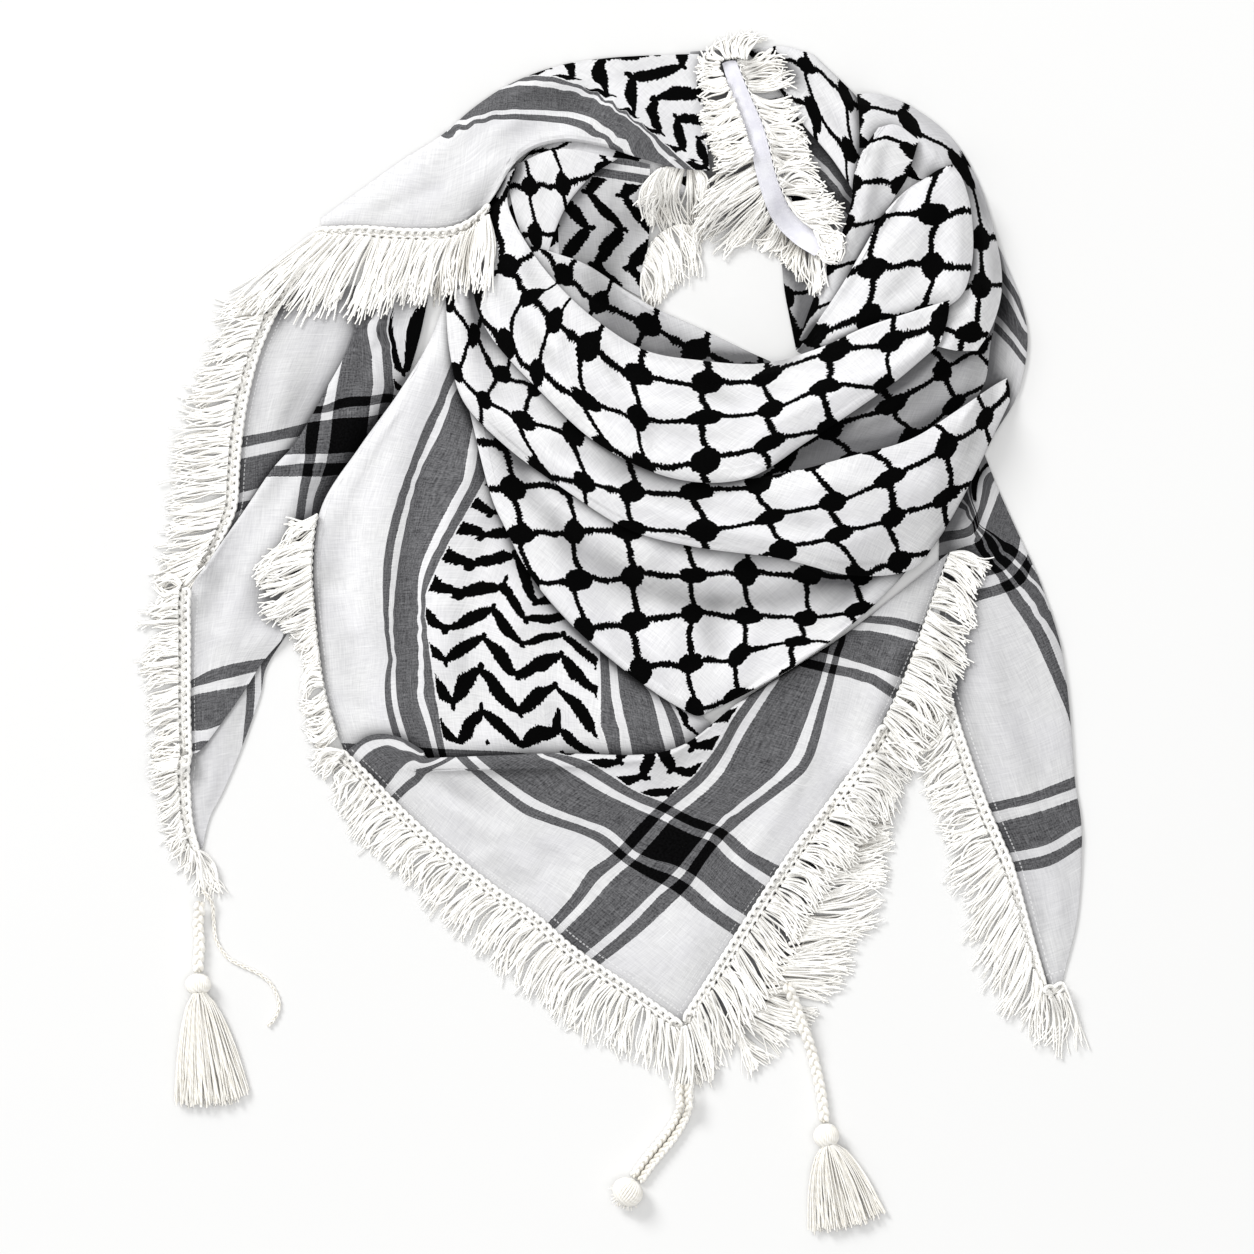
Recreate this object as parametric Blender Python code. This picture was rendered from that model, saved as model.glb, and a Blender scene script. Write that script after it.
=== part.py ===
"""A square head cloth, folded to a triangle, wound once round an open neck and laid flat.

Units are metres, +Z is up and the cloth rests on z = 0.  Stations in the tables are millimetres,
measured from the middle of the laid cloth: +X to its right, +Y to the top of the neck.
Every stretch of cloth that shows is a wall laid over what is under it, lowest first.
"""
import math

import bmesh
import bpy
import numpy as np
from mathutils import Vector
from mathutils.bvhtree import BVHTree

MM = 0.001
CLOTH_WALL = 1.6           # a doubled cotton layer, mm
FRINGE_WALL = 4.0          # combed-out fringe as it lies, mm
TAPE_WALL = 1.8
LAYER_GAP = 0.55           # air between two layers, mm
SEAM_GAP = 0.8             # cloth edge to fringe heading, mm
GRID_STEP = 26.0           # size of one facet, mm
FINEST_FOLD = 5.0          # a fold edge has a row this far in, mm
FOLD_SHARE = 0.4           # and never further in than this share of its facet
TOUCH = 0.01               # a height below this is none, mm
SHARP_EDGE = 50.0          # facets meeting at more than this are a hard edge, degrees
TESTS_PER_FACET = 5        # points per side where a facet is tested against what is under it
EDGE_TESTS = (0.0, 0.25, 0.5, 0.75, 1.0)   # shares of an edge underneath that the cloth above must clear
SETTLE_ROUNDS = 24
SMOOTH_ROUNDS = 3

NECK = (81, 187)           # middle of the neck opening, mm
# The wound-up layers that do not show, round the neck opening.
#             angle  inner  outer  height
NECK_ROLL = ((0,     64,    182,   33),
             (30,    72,    184,   30),
             (60,    76,    168,   24),
             (90,    66,    160,   17),
             (120,   86,    168,   18),
             (150,   98,    180,   24),
             (180,   96,    176,   30),
             (210,   70,    180,   36),
             (240,   52,    204,   40),
             (270,   50,    212,   40),
             (300,   62,    206,   39),
             (330,   72,    196,   36))
ROLL_SECTION_STEPS = 8
ROLL_LEAN = 0.85           # below 1 the roll's crown leans to its inner side
ROLL_FULLNESS = 0.75       # below 1 the roll's section is fuller than a sine

COTTON = dict(colour=(0.84, 0.84, 0.87), roughness=0.92)
FRINGE_COTTON = dict(colour=(0.90, 0.88, 0.83), roughness=0.95)
NET_COTTON = dict(colour=(0.55, 0.55, 0.57), roughness=0.90)

# Each stretch of cloth is a set of sections.  A section has the cloth's height above what it lies on at its
# start, middle and end, and then its stations from one side of the stretch to the other.
# folds: radius of a folded edge at (start side, end side, first section, last section); 0 is a flat edge.
STRETCHES = (
    dict(name="right_shoulder_under", folds=(0, 6, 0, 0), sections=(
        # start mid end  left side     middle        right side
        (1, 2, 2,  (266, 234), (274, 228), (278, 222)),
        (1, 2, 2,  (257, 194), (276, 191), (292, 186)),
        (1, 3, 2,  (254, 158), (279, 157), (297, 157)),
        (1, 3, 2,  (248, 122), (274, 120), (290, 120)),
        (1, 2, 1,  (240, 94), (259, 92), (274, 92)))),
    dict(name="right_tail", folds=(0, 5, 0, 0), sections=(
        (0, 2, 1,  (223, 82), (245, 79), (266, 76)),
        (0, 3, 2,  (227, 47), (252, 49), (278, 46)),
        (0, 3, 2,  (233, 18), (266, 20), (293, 13)),
        (0, 4, 2,  (233, -4), (267, -1), (301, -4)),
        (0, 4, 2,  (234, -32), (270, -27), (309, -24)),
        (0, 3, 2,  (235, -68), (278, -65), (321, -63)),
        (0, 3, 2,  (245, -109), (285, -109), (327, -107)),
        (0, 3, 2,  (266, -171), (299, -169), (331, -158)),
        (0, 3, 2,  (279, -202), (307, -196), (335, -184)),
        (0, 3, 2,  (287, -222), (312, -217), (336, -206)),
        (0, 2, 1,  (299, -266), (318, -264), (333, -256)),
        (0, 1, 0,  (310, -306), (316, -306), (322, -303)))),
    dict(name="left_tail_turn", folds=(0, 0, 0, 0), sections=(
        (0, 0, 0,  (-254, -58), (-244, -55), (-236, -53)),
        (0, 0, 0,  (-270, -81), (-261, -79), (-251, -77)),
        (0, 1, 0,  (-288, -104), (-272, -103), (-256, -99)),
        (0, 1, 0,  (-304, -144), (-287, -142), (-270, -138)),
        (0, 1, 0,  (-306, -169), (-294, -168), (-282, -166)),
        (0, 0, 0,  (-304, -191), (-298, -189), (-292, -186)),
        (0, 0, 0,  (-300, -208), (-299, -208), (-297, -207)))),
    dict(name="left_tail_far", folds=(0, 0, 0, 0), sections=(
        (0, 2, 4,  (-235, 196), (-198, 197), (-158, 199)),
        (0, 3, 4,  (-254, 155), (-220, 157), (-176, 160)),
        (0, 2, 2,  (-264, 119), (-234, 121), (-194, 126)),
        (0, 1, 1,  (-269, 86), (-248, 91), (-218, 99)),
        (0, 1, 1,  (-271, 61), (-257, 65), (-235, 71)),
        (0, 1, 0,  (-273, 37), (-266, 40), (-254, 47)),
        (0, 0, 0,  (-283, 14), (-278, 15), (-271, 19)),
        (0, 0, 0,  (-294, -4), (-292, -4), (-289, -1)))),
    dict(name="bib_under", folds=(0, 0, 0, 0), sections=(
        (0, 0, 0,  (-133, -133), (25, -133), (191, -131)),
        (0, 0, 0,  (-115, -173), (25, -176), (175, -176)),
        (0, 0, 0,  (-54, -230), (47, -230), (153, -230)),
        (0, 0, 0,  (7, -281), (68, -281), (132, -281)),
        (0, 0, 0,  (47, -317), (77, -317), (110, -317)),
        (0, 0, 0,  (70, -338), (78, -338), (89, -338)))),
    dict(name="fringe_right_tail", of="right_tail", side="left", span=(4.4, 11), sections=(
        (0, (205, -76)), (0, (204, -109)), (0, (211, -138)), (0, (227, -173)), (0, (238, -209)), (0, (245, -245)),
        (0, (257, -281)), (0, (277, -324)), (0, (310, -353)))),
    dict(name="fringe_right_tip", of="right_tail", side="last", span=(0, 2), sections=(
        (0, (315, -357)), (0, (328, -356)), (0, (339, -351)))),
    dict(name="fringe_left_far", of="left_tail_far", side="left", span=(0, 7), sections=(
        (0, (-283, 187)), (0, (-295, 151)), (0, (-310, 119)), (0, (-319, 86)), (0, (-322, 61)), (0, (-325, 36)),
        (0, (-328, 11)), (0, (-333, -13)))),
    dict(name="fringe_bib_under", of="bib_under", side="right", span=(0.2, 5), sections=(
        (0, (200, -145)), (0, (198, -181)), (0, (191, -225)), (0, (174, -277)), (0, (144, -323)), (0, (108, -361)))),
    dict(name="left_tail_near", folds=(4, 0, 0, 0), sections=(
        (2, 3, 3,  (-182, 191), (-158, 193), (-133, 196)),
        (3, 4, 3,  (-191, 155), (-166, 156), (-142, 155)),
        (4, 4, 2,  (-209, 121), (-182, 122), (-155, 117)),
        (5, 5, 2,  (-229, 86), (-202, 89), (-175, 81)),
        (5, 5, 2,  (-247, 65), (-220, 66), (-191, 54)),
        (4, 6, 2,  (-266, 37), (-234, 29), (-205, 18)),
        (2, 6, 2,  (-293, -2), (-256, -11), (-221, -22)),
        (0, 5, 2,  (-305, -22), (-268, -32), (-229, -40)),
        (0, 5, 2,  (-306, -58), (-274, -58), (-238, -55)),
        (0, 3, 0,  (-306, -88), (-283, -81), (-254, -74)),
        (0, 2, 0,  (-306, -109), (-287, -105), (-270, -99)),
        (0, 1, 0,  (-305, -133), (-300, -132), (-294, -129)))),
    dict(name="fringe_left_near", of="left_tail_near", side="left", span=(7, 11), sections=(
        (0, (-335, -18)), (0, (-340, -58)), (0, (-340, -89)), (0, (-338, -112)), (0, (-336, -138)))),
    dict(name="fringe_left_turn", of="left_tail_turn", side="left", span=(3, 6), sections=(
        (0, (-335, -145)), (0, (-332, -176)), (0, (-325, -209)), (0, (-299, -245)))),
    dict(name="bib_side", folds=(6, 0, 0, 0), sections=(
        # start mid end  left fold or hem, then inwards
        (6, 6, 3,  (-122, 189), (-115, 189), (-108, 188), (-101, 187)),
        (8, 8, 3,  (-135, 155), (-122, 151), (-109, 148), (-96, 144)),
        (9, 9, 3,  (-156, 120), (-132, 115), (-107, 109), (-90, 102)),
        (9, 9, 3,  (-184, 81), (-148, 79), (-110, 75), (-77, 65)),
        (8, 9, 2,  (-210, 41), (-158, 41), (-104, 33), (-55, 14)),
        (5, 11, 2,  (-217, 0), (-163, 0), (-104, -9), (-36, -29)),
        (2, 11, 2,  (-215, -43), (-158, -43), (-90, -50), (-11, -63)),
        (1, 8, 2,  (-209, -90), (-137, -89), (-50, -95), (54, -107)),
        (1, 4, 1,  (-199, -126), (-127, -128), (-41, -130), (72, -121)),
        (0, 2, 0,  (-191, -148), (-119, -148), (-40, -147), (77, -135)))),
    dict(name="fringe_bib_side", of="bib_side", side="left", span=(4.2, 8), sections=(
        (0, (-230, 29)), (0, (-253, -6)), (0, (-238, -49)), (0, (-225, -94)), (0, (-218, -131)))),
    dict(name="bib_front", folds=(0, 9, 0, 0), sections=(
        # lines parallel to the right hem, from the left hem to the fold under the net
        (0, 1, 2,  (47, -332), (118, -222), (192, -117), (240, 5)),
        (1, 1, 3,  (9, -305), (81, -213), (152, -112), (200, -27)),
        (1, 2, 4,  (-29, -279), (42, -203), (102, -122), (159, -58)),
        (1, 2, 7,  (-58, -254), (-1, -200), (54, -145), (91, -101)),
        (1, 3, 9,  (-89, -233), (-45, -198), (-2, -166), (38, -137)),
        (1, 4, 9,  (-131, -199), (-104, -176), (-77, -157), (-47, -139)),
        (1, 4, 9,  (-157, -175), (-147, -164), (-137, -153), (-125, -142)),
        (1, 5, 8,  (-176, -155), (-165, -145), (-153, -141), (-135, -142)),
        (1, 5, 3,  (-194, -138), (-176, -126), (-156, -127), (-138, -137)))),
    dict(name="fringe_bib_left", of="bib_front", side="left", span=(0, 8), sections=(
        (0, (53, -377)), (0, (-7, -350)), (0, (-58, -317)), (0, (-91, -289)), (0, (-120, -263)), (0, (-163, -222)),
        (0, (-185, -200)), (0, (-201, -179)), (0, (-214, -155)))),
    dict(name="fringe_bib_right", of="bib_front", side="first", span=(0.04, 3), sections=(
        (0, (63, -377)), (0, (158, -234)), (0, (223, -135)), (0, (259, -11)))),
    dict(name="neck_back", folds=(0, 0, 5, 0), sections=(
        (2, 2, 2,  (54, 366), (72, 367), (90, 366)),
        (2, 3, 2,  (58, 324), (81, 323), (104, 320)),
        (2, 3, 2,  (61, 281), (89, 279), (115, 277)),
        (1, 1, 1,  (67, 248), (97, 245), (130, 239)))),
    dict(name="neck_back_band", folds=(0, 0, 0, 0), sections=(
        (1, 1, 1,  (110, 331), (126, 333), (142, 331)),
        (1, 1, 1,  (120, 302), (139, 304), (161, 301)),
        (1, 1, 1,  (133, 270), (153, 272), (178, 266)),
        (1, 1, 1,  (149, 236), (161, 239), (174, 243)))),
    dict(name="neck_back_net", folds=(3, 4, 6, 0), sections=(
        (2, 3, 2,  (94, 367), (120, 370), (143, 364)),
        (3, 4, 3,  (115, 342), (144, 346), (174, 333)),
        (3, 5, 3,  (133, 315), (159, 318), (182, 315)),
        (3, 4, 3,  (156, 287), (169, 289), (182, 288)),
        (2, 2, 2,  (174, 259), (176, 261), (180, 263)))),
    dict(name="neck_wall_right", folds=(0, 0, 0, 0), sections=(
        (0, 0, 0,  (120, 215), (132, 215), (145, 215)),
        (0, 0, 0,  (122, 194), (133, 194), (145, 194)),
        (0, 0, 0,  (126, 173), (134, 173), (142, 173)),
        (0, 0, 0,  (130, 153), (132, 153), (136, 153)))),
    dict(name="inner_leaf", folds=(0, 0, 0, 0), sections=(
        # from the left roll to the neck: top, middle, bottom
        (1, 1, 1,  (-40, 288), (-41, 252), (-40, 215)),
        (1, 3, 1,  (-14, 289), (-18, 251), (-18, 207)),
        (1, 3, 1,  (7, 288), (4, 248), (0, 199)),
        (1, 1, 1,  (25, 284), (25, 241), (19, 189)))),
    dict(name="fringe_inner", of="inner_leaf", side="last", span=(0, 2), sections=(
        (1, (63, 279)), (1, (59, 230)), (1, (38, 190)))),
    dict(name="inner_net", folds=(0, 5, 0, 0), sections=(
        (1, 3, 3,  (-72, 284), (-40, 295), (2, 288)),
        (1, 4, 4,  (-76, 270), (-50, 274), (-17, 275)),
        (1, 4, 4,  (-73, 252), (-54, 253), (-34, 255)),
        (1, 3, 3,  (-67, 234), (-57, 235), (-44, 233)),
        (1, 1, 1,  (-58, 219), (-53, 219), (-48, 219)))),
    dict(name="collar", folds=(3, 0, 0, 0), sections=(
        (1, 1, 1,  (-60, 225), (-64, 219), (-68, 210)),
        (2, 2, 1,  (-40, 219), (-48, 206), (-57, 193)),
        (3, 3, 1,  (-17, 210), (-28, 193), (-40, 174)),
        (4, 4, 1,  (22, 185), (5, 166), (-11, 148)),
        (4, 4, 1,  (61, 167), (53, 150), (43, 128)),
        (3, 3, 1,  (94, 151), (90, 140), (85, 125)),
        (1, 1, 1,  (112, 143), (110, 135), (107, 126)))),
    dict(name="net_apron", folds=(9, 9, 0, 0), sections=(
        # lines across the apron, from its left fold to its right fold
        (3, 2, 3,  (-107, 117), (-40, 86), (47, 65), (133, 58), (223, 65)),
        (5, 3, 4,  (-91, 52), (-40, 49), (47, 45), (133, 43), (230, 50)),
        (8, 4, 7,  (-79, 23), (-18, 21), (54, 17), (133, 19), (227, 18)),
        (9, 6, 9,  (-59, -14), (-4, -17), (54, -14), (126, -12), (208, -10)),
        (9, 8, 9,  (-30, -48), (12, -48), (55, -43), (119, -43), (178, -40)),
        (9, 9, 9,  (5, -78), (29, -76), (55, -73), (96, -71), (139, -70)),
        (7, 8, 7,  (34, -99), (45, -97), (59, -95), (81, -93), (102, -92)),
        (3, 3, 3,  (55, -111), (58, -112), (61, -112), (65, -111), (69, -109)))),
    dict(name="recess_fold", folds=(0, 0, 0, 0), sections=(
        (2, 3, 1,  (245, 198), (263, 195), (277, 189)),
        (2, 3, 1,  (238, 173), (256, 166), (270, 156)),
        (2, 3, 1,  (220, 151), (241, 138), (263, 122)),
        (1, 2, 1,  (191, 133), (212, 114), (234, 94)),
        (1, 2, 1,  (155, 115), (174, 95), (191, 73)),
        (1, 1, 1,  (119, 97), (130, 76), (142, 54)),
        (0, 0, 0,  (89, 76), (94, 61), (99, 47)))),
    dict(name="shoulder", folds=(0, 8, 0, 0), sections=(
        (3, 5, 3,  (175, 295), (175, 315), (174, 335)),
        (4, 8, 3,  (194, 295), (194, 315), (192, 335)),
        (4, 10, 3,  (216, 275), (220, 302), (216, 325)),
        (4, 9, 3,  (233, 270), (240, 288), (244, 302)),
        (4, 8, 3,  (241, 256), (254, 262), (264, 266)),
        (4, 8, 3,  (245, 222), (261, 223), (276, 223)),
        (4, 7, 3,  (241, 194), (261, 194), (278, 194)),
        (3, 6, 2,  (233, 173), (253, 169), (271, 168)),
        (2, 4, 2,  (223, 155), (243, 150), (260, 150)))),
    dict(name="inner_right", folds=(5, 0, 0, 5), sections=(
        (1, 1, 1,  (130, 151), (134, 154), (139, 158)),
        (2, 4, 2,  (139, 178), (145, 179), (153, 181)),
        (3, 6, 3,  (149, 204), (158, 205), (169, 207)),
        (3, 8, 4,  (161, 230), (171, 231), (184, 233)),
        (3, 9, 5,  (169, 255), (182, 255), (198, 256)),
        (3, 9, 5,  (171, 275), (186, 276), (209, 273)),
        (2, 7, 4,  (178, 294), (192, 297), (214, 288)),
        (1, 3, 2,  (189, 310), (202, 312), (218, 301)))),
    dict(name="petal", folds=(7, 8, 0, 6), sections=(
        (1, 1, 1,  (131, 150), (135, 148), (142, 148)),
        (3, 5, 2,  (144, 169), (171, 167), (209, 171)),
        (4, 9, 4,  (162, 196), (198, 193), (245, 186)),
        (5, 12, 5,  (178, 223), (216, 222), (256, 213)),
        (5, 12, 5,  (192, 247), (223, 249), (256, 247)),
        (4, 8, 4,  (209, 265), (228, 271), (250, 272)),
        (2, 3, 2,  (223, 274), (232, 280), (242, 284)))),
    dict(name="roll_lower", folds=(0, 9, 0, 7), sections=(
        # from the roll above it to its own fold
        (3, 5, 4,  (-90, 198), (-107, 196), (-122, 191)),
        (3, 7, 5,  (-83, 169), (-103, 162), (-119, 151)),
        (3, 8, 6,  (-65, 140), (-90, 126), (-109, 114)),
        (2, 7, 6,  (-25, 112), (-54, 94), (-79, 82)),
        (2, 6, 5,  (11, 86), (-14, 65), (-40, 53)),
        (2, 6, 5,  (54, 71), (32, 43), (9, 22)),
        (3, 7, 5,  (86, 58), (72, 32), (58, 9)),
        (5, 9, 6,  (126, 63), (122, 32), (117, 1)),
        (6, 11, 7,  (169, 74), (169, 32), (169, -11)),
        (7, 12, 8,  (211, 86), (211, 43), (210, -8)),
        (6, 11, 7,  (245, 107), (238, 61), (230, 11)),
        (5, 8, 5,  (270, 124), (266, 94), (254, 52)),
        (3, 3, 3,  (282, 131), (284, 123), (284, 114)))),
    dict(name="roll_upper", folds=(7, 9, 0, 5), sections=(
        # from the neck side to the outer fold
        (3, 5, 3,  (-71, 282), (-79, 276), (-87, 270)),
        (4, 8, 5,  (-77, 256), (-89, 251), (-99, 234)),
        (4, 10, 6,  (-61, 223), (-83, 212), (-102, 194)),
        (4, 12, 7,  (-38, 194), (-65, 177), (-89, 160)),
        (5, 13, 8,  (-11, 170), (-32, 146), (-54, 121)),
        (5, 14, 8,  (22, 150), (6, 117), (-11, 82)),
        (5, 15, 9,  (61, 143), (54, 101), (42, 58)),
        (5, 15, 9,  (104, 141), (101, 101), (94, 58)),
        (5, 14, 8,  (144, 151), (142, 119), (137, 84)),
        (5, 12, 7,  (178, 166), (176, 137), (175, 109)),
        (4, 8, 5,  (211, 177), (209, 155), (204, 130)),
        (2, 3, 2,  (240, 186), (238, 171), (233, 155)))),
    dict(name="shoulder_wrap", folds=(6, 7, 0, 0), sections=(
        # from the neck fold or hem to the outer fold
        (2, 3, 1,  (68, 279), (64, 318), (61, 364)),
        (3, 5, 2,  (45, 281), (38, 318), (47, 364)),
        (4, 7, 2,  (19, 288), (13, 324), (18, 363)),
        (5, 9, 3,  (-11, 297), (-10, 326), (-9, 361)),
        (6, 10, 3,  (-40, 300), (-39, 328), (-40, 356)),
        (6, 10, 3,  (-68, 289), (-68, 326), (-73, 344)),
        (4, 9, 3,  (-91, 256), (-95, 295), (-100, 327)),
        (3, 7, 3,  (-115, 240), (-120, 275), (-126, 305)),
        (1, 5, 2,  (-148, 238), (-149, 264), (-153, 288)),
        (1, 3, 1,  (-182, 240), (-183, 253), (-184, 266)),
        (0, 1, 0,  (-211, 239), (-212, 243), (-212, 246)))),
    dict(name="fringe_wrap", of="shoulder_wrap", side="left", span=(6, 10), sections=(
        (0, (-106, 196)), (0, (-122, 187)), (0, (-158, 176)), (0, (-227, 181)), (0, (-293, 187)))),
    dict(name="fringe_neck", folds=(0, 0, 0, 0), wall=FRINGE_WALL, sections=(
        # heading to tips
        (1, 1, 1,  (54, 272), (51, 251), (54, 228)),
        (1, 1, 1,  (79, 274), (78, 251), (81, 226)),
        (1, 1, 1,  (103, 269), (106, 248), (110, 223)),
        (1, 1, 1,  (122, 246), (126, 230), (126, 210)),
        (0, 0, 0,  (139, 223), (142, 205), (143, 186)))),
    dict(name="hem_tape", folds=(0, 0, 0, 0), wall=TAPE_WALL, sections=(
        (1, 1, 1,  (77, 357), (82, 359), (87, 359)),
        (1, 1, 1,  (84, 333), (90, 335), (96, 336)),
        (1, 1, 1,  (95, 305), (101, 307), (107, 309)),
        (1, 1, 1,  (102, 274), (109, 275), (115, 277)),
        (1, 1, 1,  (112, 246), (118, 250), (125, 253)),
        (1, 1, 1,  (127, 229), (134, 233), (140, 238)),
        (1, 1, 1,  (143, 218), (148, 222), (152, 227)))),
    dict(name="fringe_tape_right", of="hem_tape", side="right", span=(0, 6), sections=(
        (0, (119, 377)), (0, (127, 338)), (0, (137, 310)), (0, (142, 279)), (0, (159, 256)), (0, (163, 236)),
        (0, (163, 217)))),
    dict(name="fringe_tape_left", of="hem_tape", side="left", span=(0, 3.2), sections=(
        (0, (55, 372)), (0, (61, 331)), (0, (63, 295)), (0, (77, 275)))),
)

# Free cords lie from the hem to their far end: stations in mm, and the cord's thickness.
CORDS = (
    dict(name="braid_left", thick=9.0, route=(
        (-299, -245.4), (-299, -253), (-300, -263), (-299, -277), (-300, -289), (-300, -297))),
    dict(name="loose_strand", thick=3.2, route=(
        (-297.5, -237.6), (-293, -241.5), (-289.5, -249), (-289, -259), (-287, -274), (-279, -286),
        (-269, -292), (-258, -297), (-248, -305), (-242, -318), (-244, -328), (-250, -336))),
    dict(name="cord_front", thick=11.0, route=(
        (50, -376.9), (48, -385), (45, -392), (41, -404), (35, -415), (28, -426), (21, -436), (15, -446))),
    dict(name="braid_right", thick=8.6, route=(
        (123, -304), (129, -318), (135, -335), (140, -349), (144, -364), (148, -382), (150, -396), (151, -405))),
)
CORD_STEP = 20.0           # one tube section, mm
TABLE_GAP = 0.02           # a cord's lowest line over the table, mm
TASSEL_STATIONS = 4
TASSEL_SIDES = 10
TASSEL_SPREAD = 0.8        # below 1 a tassel widens fastest at its head
TASSEL_THINS = 0.45        # share of its thickness that a tassel loses by its tips

# Knots sit on a cord's end; a tassel's fan hangs from its knot to its tips.
KNOTS = (
    dict(name="knot_left", on="braid_left", width=19, length=16),
    dict(name="knob_front", on="cord_front", width=23, length=20),
    dict(name="knot_right", on="braid_right", width=19, length=18),
)
TASSELS = (
    dict(name="tassel_left", on="knot_left", tips=(-290, -392), head_width=13, tip_width=60, thick=13),
    dict(name="tassel_right", on="knot_right", tips=(168, -480), head_width=15, tip_width=60, thick=13),
)
KNOT_HEIGHT = 0.8          # a knot's height over its smaller plan size
END_GAP = 0.3              # cord, knot and tassel meet end to end, mm


def clear_scene():
    for leftover in list(bpy.data.objects):
        bpy.data.objects.remove(leftover, do_unlink=True)


def cloth_material(name, look):
    material = bpy.data.materials.new(name)
    material.use_nodes = True
    shader = material.node_tree.nodes["Principled BSDF"]
    shader.inputs["Base Color"].default_value = (*look["colour"], 1.0)
    shader.inputs["Roughness"].default_value = look["roughness"]
    shader.inputs["Metallic"].default_value = 0.0
    return material


def spline(points, at):
    """A smooth curve through rows of numbers, read at positions counted in rows."""
    points = np.asarray(points, float)
    at = np.atleast_1d(np.asarray(at, float))
    padded = np.concatenate([2 * points[:1] - points[1:2], points, 2 * points[-1:] - points[-2:-1]])
    start = np.clip(np.floor(at).astype(int), 0, len(points) - 2)
    shape = (-1,) + (1,) * (points.ndim - 1)
    t = (at - start).reshape(shape)
    p0, p1, p2, p3 = (padded[start + k] for k in range(4))
    bend = 2 * p0 - 5 * p1 + 4 * p2 - p3
    return 0.5 * (2 * p1 + (p2 - p0) * t + bend * t ** 2 + (3 * p1 - p0 - 3 * p2 + p3) * t ** 3)


def positions(lengths, step, fold_first, fold_last):
    """Positions along a table, about one step apart, with a row just inside each folded edge."""
    at = [0.0]
    for index, length in enumerate(lengths):
        parts = max(1, round(length / step))
        at += [index + (k + 1) / parts for k in range(parts)]
    at = np.array(at)
    if fold_first:
        at = np.sort(np.append(at, min(FOLD_SHARE, FINEST_FOLD / max(lengths[0], 1)) * at[1]))
    if fold_last:
        inside = at[-1] - min(FOLD_SHARE, FINEST_FOLD / max(lengths[-1], 1)) * (at[-1] - at[-2])
        at = np.sort(np.append(at, inside))
    return at


def fold_round(distance, radius):
    """0 at a folded edge, rising as a quarter circle to 1 at the fold's radius."""
    if not radius:
        return np.ones_like(distance)
    inward = np.clip(distance / radius, 0.0, 1.0)
    return np.sqrt(np.maximum(1.0 - (1.0 - inward) ** 2, 0.0))


def edge_distances(grid):
    """Distance of each grid point to the start, end, first and last edges."""
    across = np.linalg.norm(np.diff(grid, axis=1), axis=2)
    along = np.linalg.norm(np.diff(grid, axis=0), axis=2)
    from_start = np.concatenate([np.zeros((len(grid), 1)), np.cumsum(across, axis=1)], axis=1)
    from_first = np.concatenate([np.zeros((1, grid.shape[1])), np.cumsum(along, axis=0)], axis=0)
    return from_start, from_start[:, -1:] - from_start, from_first, from_first[-1:] - from_first


def stretch_grid(stretch):
    """Plan positions and height above the layer below, for one stretch of cloth."""
    stations = np.array([row[3:] for row in stretch["sections"]], float)
    heights = np.array([row[:3] for row in stretch["sections"]], float)
    folds = stretch["folds"]
    widest = np.linalg.norm(np.diff(stations, axis=1), axis=2).max(axis=0)
    longest = np.linalg.norm(np.diff(stations, axis=0), axis=2).max(axis=1)
    rows = positions(longest, GRID_STEP, folds[2], folds[3])
    columns = positions(widest, GRID_STEP, folds[0], folds[1])
    by_row = spline(stations, rows)
    grid = spline(by_row.transpose(1, 0, 2), columns).transpose(1, 0, 2)
    row_heights = spline(heights, rows)
    lift = spline(row_heights.T, columns / columns[-1] * 2).T
    rounding = [fold_round(d, r) for d, r in zip(edge_distances(grid), folds)]
    lift = np.maximum(lift, 0.0) * np.prod(rounding, axis=0)
    return grid, lift, rows, columns


def fringe_grid(fringe, made):
    """A fringe's heading runs along the hem it is sewn to; its tips are the table's."""
    grid, rows, columns = made[fringe["of"]]
    first, last = fringe["span"]
    if fringe["side"] in ("left", "right"):
        edge, place = grid[:, 0 if fringe["side"] == "left" else -1], rows
    else:
        edge, place = grid[0 if fringe["side"] == "first" else -1], columns
    keep = (place > first + TOUCH) & (place < last - TOUCH)
    at = np.concatenate([[first], place[keep], [last]])
    hem = np.stack([np.interp(at, place, edge[:, k]) for k in range(2)], axis=1)
    reach = np.array([row[1] for row in fringe["sections"]], float)
    tips = spline(reach, (at - first) / (last - first) * (len(reach) - 1))
    away = tips - hem
    away /= np.linalg.norm(away, axis=1)[:, None]
    heading = hem + away * SEAM_GAP
    grid = np.stack([heading, heading * 0.5 + tips * 0.5, tips], axis=1)
    raised = np.interp(at, np.linspace(first, last, len(reach)), [row[0] for row in fringe["sections"]])
    return grid, np.repeat(raised[:, None], 3, axis=1)


def top_of(below, x, y):
    """Height in mm of whatever lies highest under a plan point; the table is 0."""
    hit = below.ray_cast(Vector((x * MM, y * MM, 1.0)), Vector((0.0, 0.0, -1.0)))
    return max(0.0, hit[0].z / MM) if hit[0] is not None else 0.0


def facet_corners(rows, columns):
    """Corner indices of the two facets of every grid cell."""
    index = np.arange(rows * columns).reshape(rows, columns)
    a, b, c, d = index[:-1, :-1], index[:-1, 1:], index[1:, 1:], index[1:, :-1]
    first = np.stack([a, b, c], axis=-1).reshape(-1, 3)
    second = np.stack([a, c, d], axis=-1).reshape(-1, 3)
    return np.concatenate([first, second])


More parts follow.
